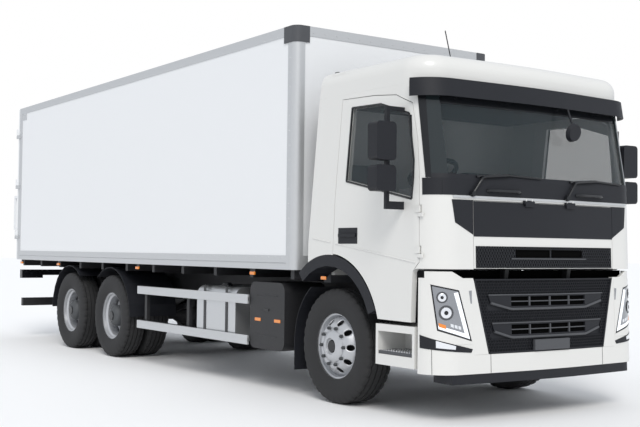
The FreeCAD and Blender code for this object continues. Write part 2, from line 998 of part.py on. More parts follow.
def build_driveline():
    """The engine and gearbox as plain blocks, and the shaft to the drive axle."""
    engine_start = front_axle_y - s.engine_front_reach
    engine_end = engine_start + s.engine_length
    half = s.engine_width / 2
    engine = box((-half, half), (engine_start, engine_end), (s.engine_bottom, s.engine_bottom + s.engine_height))
    gear_half = s.gearbox_width / 2
    gear_end = engine_end + s.gearbox_length
    gearbox = box(
        (-gear_half, gear_half),
        (engine_end, gear_end),
        (s.gearbox_bottom, s.gearbox_bottom + s.gearbox_height),
    )
    named(fuse(engine, gearbox), "engine_block")
    nose = drive_axle_y - s.differential_length
    high = s.gearbox_bottom + s.gearbox_height / 2
    low = axle_height
    run = nose - gear_end
    fall = high - low
    lean = Rotation(Vector(0, run.value, -fall.value), Vector(0, 1, 0)).inverted()
    turn = lean * turns["Y"]
    shaft = doc.addObject("Part::Prism", "Shaft")
    shaft.Polygon = rear_rim_sides
    bind(shaft, Circumradius=s.propshaft_radius)
    shaft.setExpression("Height", f"sqrt(({run.text}) ^ 2 + ({fall.text}) ^ 2) - {s.propshaft_flange_thickness.text}")
    place(shaft, 0, gear_end + s.propshaft_flange_thickness / 2, high, turn)
    flange = s.propshaft_flange_thickness
    front = rod("Y", s.propshaft_flange_radius, (gear_end, gear_end + flange), (0, high), sides=round_sides)
    back = rod("Y", s.propshaft_flange_radius, (nose - flange, nose), (0, low), sides=round_sides)
    named(fuse(shaft, front, back), "propeller_shaft")


def side_casing(depth, length, low, height, start, radius):
    """A rounded casing on the right side of the frame, with its back towards the rail."""
    outer = -s.side_equipment_half_width
    return prism(
        "YZ",
        (outer, outer + depth),
        rectangle((start, start + length), (low, low + height), radius),
    )


def brackets(start, length, inner, level):
    """Two flat arms that carry a casing from the rail."""
    arms = []
    for share in (1 / 5, 4 / 5):
        along = start + length * share
        arms.append(
            box(
                (inner - s.overrun, -s.frame_half_width),
                (along - s.bracket_thickness / 2, along + s.bracket_thickness / 2),
                (level, level + s.bracket_height),
            )
        )
    return arms


def build_side_equipment():
    """Fuel tank, service box and exhaust box with the brackets that hang them on the rails."""
    outer = -s.side_equipment_half_width
    level = frame_bottom + s.frame_rail_height / 3
    start = front_axle_y + s.tank_front_reach
    tank = prism(
        "XZ",
        (start, start + s.tank_length),
        rectangle(
            (outer, outer + s.tank_depth),
            (s.tank_bottom, s.tank_bottom + s.tank_height),
            s.tank_corner_radius,
        ),
    )
    arms = brackets(start, s.tank_length, outer + s.tank_depth, level)
    named(fuse(tank, *arms), "fuel_tank")
    start = front_axle_y + s.service_box_front_reach
    casing = side_casing(
        s.service_box_depth,
        s.service_box_length,
        s.service_box_bottom,
        s.service_box_height,
        start,
        s.service_box_corner_radius,
    )
    arms = brackets(start, s.service_box_length, outer + s.service_box_depth, level)
    named(fuse(casing, *arms), "service_box")
    start = front_axle_y + s.exhaust_front_reach
    casing = side_casing(
        s.exhaust_depth, s.exhaust_length, s.exhaust_bottom, s.exhaust_height, start, s.exhaust_corner_radius
    )
    arms = brackets(start, s.exhaust_length, outer + s.exhaust_depth, level)
    named(mirrored(fuse(casing, *arms)), "exhaust_box")


def build_guards():
    """Side guard rails with their posts, and the rear underrun bar on its arms."""
    start = front_axle_y + s.guard_front_reach
    length = drive_axle_y - s.tyre_radius - s.guard_wheel_gap - start
    outer = -s.side_equipment_half_width
    inner = outer + s.guard_rail_thickness
    pieces = []
    for level in (s.guard_lower_height, s.guard_upper_height):
        span = (level - s.guard_rail_height / 2, level + s.guard_rail_height / 2)
        pieces.append(box((outer, inner), (start, start + length), span))
    for share in (1 / 10, 9 / 10):
        along = start + length * share
        half = s.guard_post_width / 2
        low = s.guard_lower_height - s.guard_rail_height / 2
        high = s.guard_upper_height + s.guard_rail_height / 2
        pieces.append(box((inner, inner + s.guard_post_thickness), (along - half, along + half), (low, high)))
        arm_low = s.guard_upper_height - s.guard_rail_height / 2
        pieces.append(
            box(
                (inner, -s.frame_half_width),
                (along - half, along + half),
                (arm_low, arm_low + s.guard_post_thickness),
            )
        )
    named(pair(fuse(*pieces)), "side_guards")
    rear = box_rear_y - s.underrun_inset
    half = s.underrun_half_width
    top = s.underrun_bottom + s.underrun_height
    bar = box((-half, half), (rear - s.underrun_thickness, rear), (s.underrun_bottom, top))
    arms = []
    for side in (-1, 1):
        middle = side * s.underrun_arm_half_gauge
        span = (middle - s.underrun_arm_width / 2, middle + s.underrun_arm_width / 2)
        hanger = (frame_rear_y - s.frame_rail_height, frame_rear_y - s.rear_member_thickness)
        arms.append(box(span, hanger, (s.underrun_bottom, frame_bottom)))
        arms.append(box(span, (frame_rear_y - s.frame_rail_height, rear), (s.underrun_bottom, top)))
    named(fuse(bar, *arms), "rear_underrun")
    lamps = []
    outer = -box_half + s.box_rail_thickness
    lamp_end = box_rear_y - s.underrun_inset
    for side in (-1, 1):
        edge = outer if side < 0 else -outer
        span = (edge, edge + s.tail_lamp_width) if side < 0 else (edge - s.tail_lamp_width, edge)
        lamps.append(
            box(
                span,
                (lamp_end - s.tail_lamp_depth, lamp_end),
                (s.tail_lamp_bottom, s.tail_lamp_bottom + s.tail_lamp_height),
            )
        )
    carrier = box(
        (outer, -outer),
        (lamp_end - s.tail_lamp_depth, lamp_end - s.tail_lamp_depth / 2),
        (s.tail_lamp_bottom + s.tail_lamp_height / 3, s.tail_lamp_bottom + s.tail_lamp_height),
    )
    gap = s.bearer_height
    posts = []
    for side in (-1, 1):
        middle = side * s.underrun_arm_half_gauge
        span = (middle - s.underrun_arm_width / 2, middle + s.underrun_arm_width / 2)
        posts.append(
            box(span, (frame_rear_y, lamp_end - s.tail_lamp_depth / 2), (s.tail_lamp_bottom, s.tail_lamp_bottom + gap))
        )
    named(fuse(carrier, *lamps, *posts), "tail_lamps")


def arc_band(centre_y, centre_z, radius, thickness, from_degrees, to_degrees, x_span):
    """A sheet bent round an axle in flat facets, seen from the side as part of a ring."""
    points = []
    for reach, order in ((radius, 1), (radius + thickness, -1)):
        arc = []
        for number in range(band_facets + 1):
            angle = math.radians(from_degrees + (to_degrees - from_degrees) * number / band_facets)
            arc.append((centre_y + reach * math.cos(angle), centre_z + reach * math.sin(angle)))
        points += arc[::order]
    return prism("YZ", x_span, points)


def build_mudguards():
    """Curved guards over the rear wheels and behind the front wheels, with flaps and stays."""
    pieces = []
    outer = -s.mudguard_half_width
    inner = -s.mudguard_inner_half_width
    wall = s.mudguard_thickness
    radius = s.tyre_radius + s.mudguard_clearance
    arc_top = axle_height + radius
    for axle_y, low_degrees, high_degrees in ((drive_axle_y, 52, 178), (tag_axle_y, 2, 128)):
        arc = arc_band(axle_y, axle_height, radius, wall, low_degrees, high_degrees, (outer, inner))
        along = (axle_y - s.mudguard_stay_radius, axle_y + s.mudguard_stay_radius)
        post = box((inner - s.mudguard_stay_radius, inner), along, (s.frame_top - s.bracket_height, arc_top))
        stay = box((inner, -s.frame_half_width), along, (s.frame_top - s.bracket_height, s.frame_top))
        pieces.append(fuse(arc, post, stay))
    named(pair(group(*pieces)), "rear_mudguards")
    outer = -s.front_guard_half_width
    inner = outer + s.front_guard_width
    radius = s.tyre_radius + s.front_guard_clearance
    arc = arc_band(front_axle_y, axle_height, radius, wall, 0, 55, (outer, inner))
    flap = box(
        (outer, inner),
        (front_axle_y + radius, front_axle_y + radius + wall),
        (s.front_flap_bottom, axle_height),
    )
    level = axle_height + radius / 2
    stay = box(
        (inner - s.overrun, -s.frame_half_width),
        (front_axle_y + radius, front_axle_y + radius + 2 * s.mudguard_stay_radius),
        (frame_bottom, frame_bottom + 2 * s.mudguard_stay_radius),
    )
    post = box(
        (inner - s.overrun, inner),
        (front_axle_y + radius - wall, front_axle_y + radius + 2 * s.mudguard_stay_radius),
        (axle_height - s.overrun, level),
    )
    named(pair(fuse(arc, flap, stay, post)), "front_mudguards")


# Box body


def build_box():
    """Floor on bearers, walls, roof, rails with corner posts, corner caps and the rear frame."""
    half = box_half
    low = s.box_bottom
    rail = s.box_rail_thickness
    front = box_front_y
    back = box_rear_y - s.rear_frame_length
    floor_top = low + s.box_floor_thickness
    post_x = -half + s.box_post_width
    post_y = front + s.box_post_length
    bearers = [
        box((-half + rail, 0), (post_y, back), (low, floor_top)),
        box((post_x, 0), (front + rail, post_y), (low, floor_top)),
    ]
    run = back - front - rail * 2 - s.bearer_width
    count = int(s.bearer_count.value)
    for number in range(count):
        along = front + rail + run * (number / (count - 1))
        bearers.append(
            box((-half + rail, 0), (along, along + s.bearer_width), (low - s.bearer_height, low))
        )
    subframe_low = -s.frame_half_width
    bearers.append(
        box(
            (subframe_low, subframe_low + s.subframe_width),
            (front + rail, frame_rear_y),
            (s.frame_top, low - s.bearer_height),
        )
    )
    named(across(fuse(*bearers)), "box_floor")
    wall_inset = s.box_rail_groove
    wall = box(
        (-half + wall_inset, -half + wall_inset + s.box_wall_thickness),
        (front + s.box_post_length, back),
        (low + s.box_lower_rail_height, box_top - s.box_upper_rail_height),
    )
    named(pair(wall), "box_side_walls")
    front_wall = box(
        (-half + s.box_post_width, half - s.box_post_width),
        (front + wall_inset, front + wall_inset + s.box_front_wall_thickness),
        (low + s.box_lower_rail_height, box_top - s.box_upper_rail_height),
    )
    named(front_wall, "box_front_wall")
    roof_z = (box_top - s.box_roof_thickness - wall_inset, box_top - wall_inset)
    roof = fuse(
        box((-half + rail, 0), (post_y, back), roof_z),
        box((post_x, 0), (front + rail, post_y), roof_z),
    )
    named(across(roof), "box_roof")
    lower_rail = prism(
        "XZ",
        (front + s.box_post_length / 2, back),
        [
            (-half, low),
            (-half + rail, low),
            (-half + rail, low + s.box_lower_rail_height),
            (-half, low + s.box_lower_rail_height),
            (-half, low + s.box_lower_rail_height / 2),
            (-half + wall_inset, low + s.box_lower_rail_height / 2 - wall_inset),
            (-half, low + s.box_lower_rail_height / 2 - wall_inset * 2),
        ],
    )
    upper_rail = box(
        (-half, -half + rail),
        (front + s.box_post_length / 2, back),
        (box_top - s.box_upper_rail_height, box_top),
    )
    post = prism(
        "XY",
        (low, box_top),
        [
            (-half, front, s.box_post_radius),
            (-half + s.box_post_width, front),
            (-half + s.box_post_width, front + wall_inset + s.box_front_wall_thickness),
            (-half + rail, front + s.box_post_length),
            (-half, front + s.box_post_length),
        ],
    )
    cross_low = box((-half + s.box_post_width, 0), (front, front + rail), (low, low + s.box_lower_rail_height))
    cross_high = box((-half + s.box_post_width, 0), (front, front + rail), (box_top - s.box_upper_rail_height, box_top))
    named(across(fuse(lower_rail, upper_rail, post, cross_low, cross_high)), "box_rails")
    build_rear_frame(back)


def build_rear_frame(start):
    """The rear portal of posts, header and sill that the doors close on."""
    half = box_half
    end = box_rear_y - s.rear_door_thickness - s.joint_gap
    portal = prism(
        "XZ",
        (start, end),
        rectangle((-half, half), (s.box_bottom, box_top)),
        rectangle(
            (-half + s.rear_post_width, half - s.rear_post_width),
            (s.box_bottom + s.rear_sill_height, box_top - s.rear_header_height),
        ),
    )
    eyes = []
    for number in range(int(s.rear_hinge_count.value)):
        low = hinge_height(number) - s.rear_hinge_length / 2
        spot = (rear_pin_x, rear_pin_y)
        radius = s.rear_hinge_radius
        eye = box(
            (rear_pin_x - radius, -half),
            (end - s.rear_hinge_pad_length, rear_pin_y + radius),
            (low, low + s.rear_hinge_length / 3),
        )
        pin = rod("Z", s.rear_hinge_pin_radius, (low, low + s.rear_hinge_length), spot, sides=round_sides)
        eyes.append(fuse(eye, pin))
    named(fuse(portal, *eyes, *[mirrored(eye) for eye in eyes]), "rear_frame")


def hinge_height(number):
    """Middle height of a rear door hinge, evenly spread between sill and header."""
    count = int(s.rear_hinge_count.value)
    share = (number + 1 / 2) / count
    return s.box_bottom + s.box_height * share


def build_rear_doors():
    """Two full-height leaves with lock rods, keepers, hinge straps and a grab handle."""
    half = box_half
    leaf_front = box_rear_y - s.rear_door_thickness
    leaf = box(
        (-half, -s.rear_door_gap / 2),
        (leaf_front, box_rear_y),
        (s.box_bottom + s.rear_door_gap, box_top - s.rear_door_gap),
    )
    pieces = [leaf]
    rod_x = -s.lock_rod_inset
    rod_y = box_rear_y + s.lock_rod_stand_off
    low = s.box_bottom + s.rear_door_gap
    high = box_top - s.rear_door_gap
    pieces.append(rod("Z", s.lock_rod_radius, (low, high), (rod_x, rod_y), sides=round_sides))
    for share in (1 / 20, 1 / 3, 2 / 3, 19 / 20):
        middle = low + (high - low) * share
        pieces.append(
            box(
                (rod_x - s.lock_keeper_width / 2, rod_x + s.lock_keeper_width / 2),
                (box_rear_y, rod_y + s.lock_rod_radius / 2),
                (middle - s.lock_keeper_height / 2, middle + s.lock_keeper_height / 2),
            )
        )
    bar_y = box_rear_y + s.grab_handle_reach - s.grab_handle_bar
    grip_x = (-half, -half + s.grab_handle_width)
    top = s.grab_handle_bottom + s.grab_handle_height
    pieces.append(box(grip_x, (bar_y, bar_y + s.grab_handle_bar), (s.grab_handle_bottom, top)))
    for level in (s.grab_handle_bottom, top - s.grab_handle_bar):
        pieces.append(box(grip_x, (box_rear_y, bar_y), (level, level + s.grab_handle_bar)))
    bores = []
    radius = s.rear_hinge_radius
    for number in range(int(s.rear_hinge_count.value)):
        middle = hinge_height(number)
        high = middle + s.rear_hinge_length / 2
        low = high - s.rear_hinge_length * 2 / 3 + s.joint_gap
        pieces.append(
            box((rear_pin_x - radius, -half + s.rear_strap_length), (box_rear_y, rear_pin_y + radius), (low, high))
        )
        bores.append(rod("Z", s.rear_hinge_pin_radius + s.shaft_gap, (low, high), (rear_pin_x, rear_pin_y)))
    door = cut(fuse(*pieces), *bores)
    named(door, "rear_door_right")
    named(mirrored(door), "rear_door_left")


# Cab

# The cab's front leans back: a little below the belt line, more at the windscreen
lower_lean_degrees = 1.8
screen_lean_degrees = 10.4

# Back wall from its foot to the roof: shares of the cab's height and of its length
back_wall_shares = ((-0.1, 1.000), (0.295, 0.993), (0.862, 0.911), (0.941, 0.893), (1.1, 0.893))

# How far the front corners of the plan outline stand back and how deep the front panel is,
# as shares of the cab's length, and where the roof's seam is, as a share of the cab's height
front_bow_share = 0.043
panel_depth_share = 0.187
toe_board_share = 0.165
roof_seam_share = 0.889


# Lean of the steering column, and where the grille's middle bar sits between its edges
steering_lean_degrees = 28
visor_stay_shares = (-0.7, -0.25, 0.25, 0.7)
visor_depth_share = 0.19
grille_bar_share = 0.47


def cab_along(share):
    """A place along the cab, from its foremost point to its back wall."""
    return cab_front_y + s.cab_length * share


def cab_up(share):
    """A height on the cab, from its sill to its roof."""
    return s.cab_bottom + s.cab_height * share


def cab_column(front_y, level, lean_degrees, span, inset):
    """An upright column of the cab: the plan outline carried up along a leaning axis.

    The outline has straight sides, rounded front corners and a bowed front. The front's
    middle passes through (front_y, level), and the span is measured along the axis.
    """
    body = doc.addObject("PartDesign::Body", "CabColumn")
    sketch = sketch_on(body, "XY", level)
    lean = Rotation(Vector(1, 0, 0), -lean_degrees)
    sketch.AttachmentOffset = Placement(Vector(), lean)
    sketch.setExpression("AttachmentOffset.Base.y", text_of(front_y))
    side = cab_half - inset
    corner = s.cab_length * front_bow_share + inset
    radius = s.cab_corner_radius - inset
    back = s.cab_length + s.cab_corner_radius
    draw(
        sketch,
        [
            (-side, back),
            (-side, corner, radius),
            (0, inset, s.cab_bow_radius),
            (side, corner, radius),
            (side, back),
        ],
    )
    pad = body.newObject("PartDesign::Pad", "Height")
    pad.Profile = sketch
    pad.SideType = "Two sides"
    bind(pad, Length=span[1], Length2=-span[0])
    return body


def screen_front():
    """The windscreen's foremost place, at the belt line."""
    return cab_along(0) + (s.belt_height - cab_up(1 / 3)) * math.tan(math.radians(lower_lean_degrees))


def screen_column(inset):
    """The leaning column that holds the windscreen, moved inwards by an inset."""
    span = (-s.cab_height, s.cab_height)
    return cab_column(screen_front(), s.belt_height, screen_lean_degrees, span, inset)


def round_roof(roof, level, radius):
    """Rounds the roof column's upper edges, which lie above a level."""
    doc.recompute()
    edges = [
        f"Edge{number + 1}"
        for number, edge in enumerate(roof.Shape.Edges)
        if edge.BoundBox.ZMin > level and edge.BoundBox.YMin < value_of(cab_along(1))
    ]
    column = roof.Tip
    rounded = roof.newObject("PartDesign::Fillet", "RoofEdge")
    rounded.Base = (column, edges)
    bind(rounded, Radius=radius)


def cab_form(inset):
    """The cab's outer form as closed solids, moved inwards by an inset all round.

    It is a lower column, a leaning column round the windscreen and a roof column with
    rounded edges, all cut by the back wall's profile.
    """
    wide = (-cab_half * 2, cab_half * 2)
    foot = s.cab_bottom - s.overrun - inset
    roof_low = s.screen_top + s.visor_height / 3
    belt = s.belt_height
    rise = s.cab_height
    lower = cab_column(cab_along(0), cab_up(1 / 3), lower_lean_degrees, (-rise, rise), inset)
    middle = screen_column(inset)
    roof_front = screen_front() + (roof_low - belt) * math.tan(math.radians(screen_lean_degrees))
    roof = cab_column(roof_front, roof_low, 0, (-s.overrun, cab_up(1) - inset - roof_low), inset)
    if value_of(inset) <= 0:
        round_roof(roof, value_of(cab_up(1) - inset - s.seat_gap), s.cab_roof_edge_radius - inset)
    profile = [(cab_along(along) - inset, cab_up(up)) for up, along in back_wall_shares]
    ends = [(profile[-1][0] - s.cab_length * 2, profile[-1][1]), (profile[0][0] - s.cab_length * 2, profile[0][1])]
    limit = prism("YZ", wide, profile + ends)
    long = (cab_front_y - s.cab_length, cab_along(2))
    lower_part = common(lower, limit, box(wide, long, (foot, belt)))
    middle_part = common(middle, limit, box(wide, long, (belt, roof_low)))
    roof_part = common(roof, limit, box(wide, long, (roof_low, cab_up(1) + s.overrun)))
    return fuse(lower_part, middle_part, roof_part)


# Outline of a cab door as shares of the cab's length and height, from the upper rear corner
# down the rear edge, along the sill and up the front edge
door_outline_shares = (
    (0.711, 0.869),
    (0.767, 0.469),
    (0.782, 0.246),
    (0.782, 0.100),
    (0.430, 0.004),
    (0.193, 0.002),
    (0.184, 0.188),
    (0.144, 0.225),
    (0.150, 0.532),
    (0.168, 0.675),
    (0.203, 0.812),
    (0.305, 0.850),
    (0.464, 0.863),
)

# Outline of a door's window, in the same shares, from the upper rear corner
window_outline_shares = (
    (0.632, 0.827),
    (0.674, 0.544),
    (0.197, 0.462),
    (0.183, 0.564),
    (0.202, 0.767),
    (0.418, 0.823),
)


def side_outline(shares, grow):
    """A cab side outline moved outwards by a size, away from its own middle."""
    middle_along = sum(along for along, up in shares) / len(shares)
    middle_up = sum(up for along, up in shares) / len(shares)
    points = []
    for along, up in shares:
        spot = (cab_along(along), cab_up(up))
        lean = math.hypot(along - middle_along, up - middle_up)
        away = ((along - middle_along) / lean, (up - middle_up) / lean)
        points.append((spot[0] + grow * away[0], spot[1] + grow * away[1]))
    return points


def lid_hinge():
    """Right-hand hinge of the front lid: ears with their pin on the panel, and the lid's eye."""
    pin_y = front_axle_y - s.lid_hinge_reach
    pin_z = s.lid_top - s.joint_gap / 2
    middle = -s.lid_hinge_half_gauge
    half = s.lid_hinge_length / 2
    eye_half = half - s.joint_gap * 3
    radius = s.lid_hinge_eye_radius
    deep = (pin_y - radius, pin_y + s.lid_thickness)
    high = (pin_z - radius, pin_z + radius * 3)
    ears = [
        box((middle - half, middle - eye_half - s.joint_gap), deep, high),
        box((middle + eye_half + s.joint_gap, middle + half), deep, high),
        rod("X", s.lid_hinge_pin_radius, (middle - half, middle + half), (pin_y, pin_z), sides=round_sides),
    ]
    eye_x = (middle - eye_half, middle + eye_half)
    eye = box(eye_x, (pin_y - radius, pin_y + s.lid_thickness), (pin_z - radius * 3, pin_z + radius))
    bore = rod("X", s.lid_hinge_pin_radius + s.shaft_gap, eye_x, (pin_y, pin_z))
    gap = s.joint_gap
    room_y = (pin_y - s.overrun, pin_y + s.lid_thickness + gap * 3)
    eye_room = box((eye_x[0] - gap, eye_x[1] + gap), room_y, (pin_z, pin_z + radius * 3 / 2 + gap))
    ear_room = box((middle - half - gap, middle + half + gap), room_y, (pin_z - radius * 2, pin_z + radius))
    return ears, eye, bore, eye_room, ear_room


def door_hinge():
    """Both hinges of the right door: knuckles and pins, the door's eyes, bores and the room round them."""
    pin_x = -s.door_hinge_half_width
    pin_y = front_axle_y - s.door_hinge_reach
    radius = s.door_hinge_radius
    gap = s.joint_gap
    sweep = radius * 3 / 2 + gap
    wide = (pin_x - radius, pin_x + radius)
    room_x = (pin_x - sweep, pin_x + sweep)
    room_y = (pin_y - sweep, pin_y + sweep)
    knuckles, eyes, bores, knuckle_rooms, eye_rooms = [], [], [], [], []
    for low in (s.door_hinge_low, s.door_hinge_low + s.door_hinge_spacing):
        split = low + s.door_hinge_length / 3
        high = low + s.door_hinge_length
        tail = s.door_hinge_length / 2
        knuckles.append(box(wide, (pin_y - tail, pin_y + radius), (low, split)))
        knuckles.append(rod("Z", s.door_hinge_pin_radius, (low, high), (pin_x, pin_y), sides=round_sides))
        eyes.append(box(wide, (pin_y - radius, pin_y + tail), (split + gap, high)))
        bores.append(rod("Z", s.door_hinge_pin_radius + s.shaft_gap, (split + gap, high), (pin_x, pin_y)))
        knuckle_rooms.append(box(room_x, room_y, (low - gap, split + gap)))
        eye_rooms.append(box(room_x, room_y, (split, high + gap)))
    return knuckles, eyes, bores, knuckle_rooms, eye_rooms


def build_cab():
    """Cab skin split at its real seams, with its floor, glass, trims and inner fittings."""
    outer_form = cab_form(0)
    inner_form = cab_form(s.cab_wall_thickness)
    glass_outer = cab_form(s.glass_inset)
    glass_inner = cab_form(s.glass_inset + s.glass_thickness)
    lid_inner = cab_form(s.lid_thickness)
    skin = cut(outer_form, inner_form)
    glass_skin = cut(glass_outer, glass_inner)
    side_span = (-cab_half - s.overrun, -cab_half + s.cab_corner_radius)
    centre = (front_axle_y, s.arch_centre_height)
    arch_radius = s.arch_outer_radius
    arch = rod("X", arch_radius + s.seat_gap, side_span, centre)
    door_arch = rod("X", arch_radius + s.door_arch_gap, side_span, centre)
    door_slab = prism("YZ", side_span, side_outline(door_outline_shares, 0))
    window_slab = prism("YZ", side_span, side_outline(window_outline_shares, 0))
    window_fill = prism("YZ", side_span, side_outline(window_outline_shares, -s.seat_gap))
    knuckles, door_eyes, door_bores, knuckle_rooms, eye_rooms = door_hinge()
    door_skin = cut(common(skin, door_slab), door_arch, window_slab, *knuckle_rooms)
    door = cut(fuse(door_skin, *door_eyes), *door_bores)
    glass = common(glass_skin, window_fill)
    doorway = prism("YZ", side_span, side_outline(door_outline_shares, s.door_gap))
    wide = (-cab_half - s.overrun, cab_half + s.overrun)
    front = cab_front_y - s.overrun
    screen_span = (front, cab_front_y + s.cab_corner_radius)
    half = s.screen_half_width
    screen_hole = prism("XZ", screen_span, rectangle((-half, half), (s.screen_bottom, s.screen_top), s.cab_wall_thickness))
    fit = s.seat_gap
    screen_fill = prism(
        "XZ",
        screen_span,
        rectangle(
            (-half + fit, half - fit),
            (s.screen_bottom + fit, s.screen_top - fit),
            s.cab_wall_thickness - fit,
        ),
    )
    roof_low = cab_up(roof_seam_share)
    roof_zone = box(wide, (front, cab_along(1)), (roof_low, cab_up(1) + s.overrun))
    panel_back = cab_along(panel_depth_share)
    belt = s.belt_height
    rear = cab_along(1) + s.overrun
    panel_zone = box(wide, (front, panel_back), (s.cab_panel_bottom, belt))
    body_zone = fuse(
        box(wide, (panel_back + fit, rear), (s.cab_skirt_bottom, roof_low - fit)),
        box(wide, (front, rear), (belt + fit, roof_low - fit)),
    )
    lid_hole = prism(
        "XZ",
        screen_span,
        rectangle(
            (-s.lid_half_width, s.lid_half_width),
            (s.cab_panel_bottom - s.overrun, s.lid_top),
        ),
    )
    gap = s.joint_gap
    lid_fill = prism(
        "XZ",
        screen_span,
        rectangle(
            (-s.lid_half_width + gap, s.lid_half_width - gap),
            (s.lid_bottom, s.lid_top - gap),
        ),
    )
    doorways = fuse(doorway, mirrored(doorway), arch, mirrored(arch))
    named(common(skin, roof_zone), "cab_roof")
    ears, eyes, eye_bores, eye_room, ear_room = lid_hinge()
    rooms = [eye_room, *eye_rooms]
    panel = cut(common(skin, panel_zone), lid_hole, doorways, *rooms, *[mirrored(room) for room in rooms])
    added = ears + knuckles
    named(fuse(panel, *added, *[mirrored(piece) for piece in added]), "cab_front_panel")
    shell = cut(common(skin, body_zone), doorways, screen_hole)
    named(shell, "cab_shell")
    named(common(glass_skin, screen_fill), "windscreen")
    lid = cut(common(cut(outer_form, lid_inner), lid_fill), ear_room, mirrored(ear_room))
    eye_set = fuse(lid, eyes, mirrored(eyes))
    named(cut(eye_set, eye_bores, mirrored(eye_bores)), "front_lid")
    named(door, "cab_door_right")
    named(mirrored(door), "cab_door_left")
    named(glass, "door_glass_right")
    named(mirrored(glass), "door_glass_left")
    build_visor(wide, front)
    build_cab_floor(inner_form, arch)
    build_arch_trims()
    build_front_end()


def build_visor(wide, front):
    """Sun visor that stands off the windscreen's head on four stays."""
    visor_outer = screen_column(-s.visor_stand_off)
    visor_inner = screen_column(-s.visor_stand_off + s.visor_thickness)
    deep = (front - s.visor_stand_off, cab_along(visor_depth_share))
    visor_zone = box(wide, deep, (s.visor_bottom, s.visor_bottom + s.visor_height))
    visor = common(cut(visor_outer, visor_inner), visor_zone)
    stay_low = s.visor_bottom + s.visor_stay_width / 2
    half = s.visor_stay_width / 2
    stays = []
    for share in visor_stay_shares:
        middle = cab_half * share
        stays.append(box((middle - half, middle + half), deep, (stay_low, stay_low + s.visor_stay_width)))
    stay_part = cut(common(visor_outer, fuse(*stays)), screen_column(-s.seat_gap))
    named(fuse(visor, stay_part), "sun_visor")


def build_cab_floor(inner_form, arch):
    """Floor with a raised tunnel over the engine, toe board and the two tilt lugs."""
    wall = s.cab_floor_thickness
    side = -cab_half + s.cab_wall_thickness + s.joint_gap
    front = cab_along(toe_board_share)
    rear = cab_along(1) + s.overrun
    top = s.cab_floor_height
    low = top - wall
    tunnel = -s.tunnel_half_width
    pieces = [
        box((side, tunnel), (front, rear), (low, top)),
        box((tunnel - wall, tunnel), (front, rear), (low, top + s.tunnel_height)),
        box((tunnel - wall, 0), (front, rear), (low + s.tunnel_height, top + s.tunnel_height)),
        box((side + s.joint_gap, 0), (front - wall, front), (low, s.dash_top)),
    ]
    arm_inner = -s.tilt_arm_half_gauge + s.tilt_arm_width / 2 + s.joint_gap
    half = s.tilt_arm_reach
    lug = prism(
        "YZ",
        (arm_inner, arm_inner + s.tilt_lug_width),
        [
            (tilt_y - half, tilt_z - half),
            (front, tilt_z - half),
            (front, tilt_z + half * 3),
            (tilt_y - half, tilt_z + half),
        ],
    )
    bore = rod(
        "X",
        s.tilt_pin_radius + s.shaft_gap,
        (arm_inner - s.overrun, arm_inner + s.tilt_lug_width + s.overrun),
        (tilt_y, tilt_z),
    )
    half_floor = cut(fuse(*pieces, lug), bore, arch)
    named(common(across(half_floor), inner_form), "cab_floor")


def build_arch_trims():
    """Wheel arch linings of the cab, on both sides."""
    side = -cab_half
    trim = arc_band(
        front_axle_y,
        s.arch_centre_height,
        s.arch_inner_radius,
        s.arch_outer_radius - s.arch_inner_radius,
        50,
        158,
        (side, side + s.arch_trim_depth),
    )
    named(pair(trim), "arch_trims")


def build_interior():
    """Two seats, the dashboard and the steering wheel on the right."""
    floor_top = s.cab_floor_height
    half = s.seat_width / 2
    start = front_axle_y - s.seat_front_reach
    middle = -s.seat_half_gauge
    span = (middle - half, middle + half)
    cushion_low = s.seat_height - s.seat_thickness * 2
    pedestal = box((middle - half / 2, middle + half / 2), (start + s.seat_thickness, start + s.seat_depth), (floor_top, cushion_low))
    seat = prism(
        "YZ",
        span,
        [
            (start, cushion_low),
            (start + s.seat_depth + s.seat_thickness, cushion_low),
            (start + s.seat_depth + s.seat_thickness * 2, cushion_low + s.seat_back_height + s.seat_thickness),
            (start + s.seat_depth + s.seat_thickness, cushion_low + s.seat_back_height + s.seat_thickness),
            (start + s.seat_depth, cushion_low + s.seat_thickness),
            (start, cushion_low + s.seat_thickness),
        ],
    )
    named(pair(fuse(pedestal, seat)), "seats")
    front = cab_along(toe_board_share)
    dash_half = cab_half - s.cab_wall_thickness * 2
    top = s.dash_top
    dash = prism(
        "YZ",
        (-dash_half, dash_half),
        [
            (front, top - s.dash_height),
            (front + s.dash_depth / 2, top - s.dash_height),
            (front + s.dash_depth, top - s.dash_height / 4),
            (front + s.dash_depth, top),
            (front, top),
        ],
    )
    named(dash, "dashboard")
    build_steering_wheel(middle, front + s.dash_depth, top)
    mirror = mirror_on(-cab_half)
    named(mirror, "mirror_right")
    named(mirrored(mirror), "mirror_left")


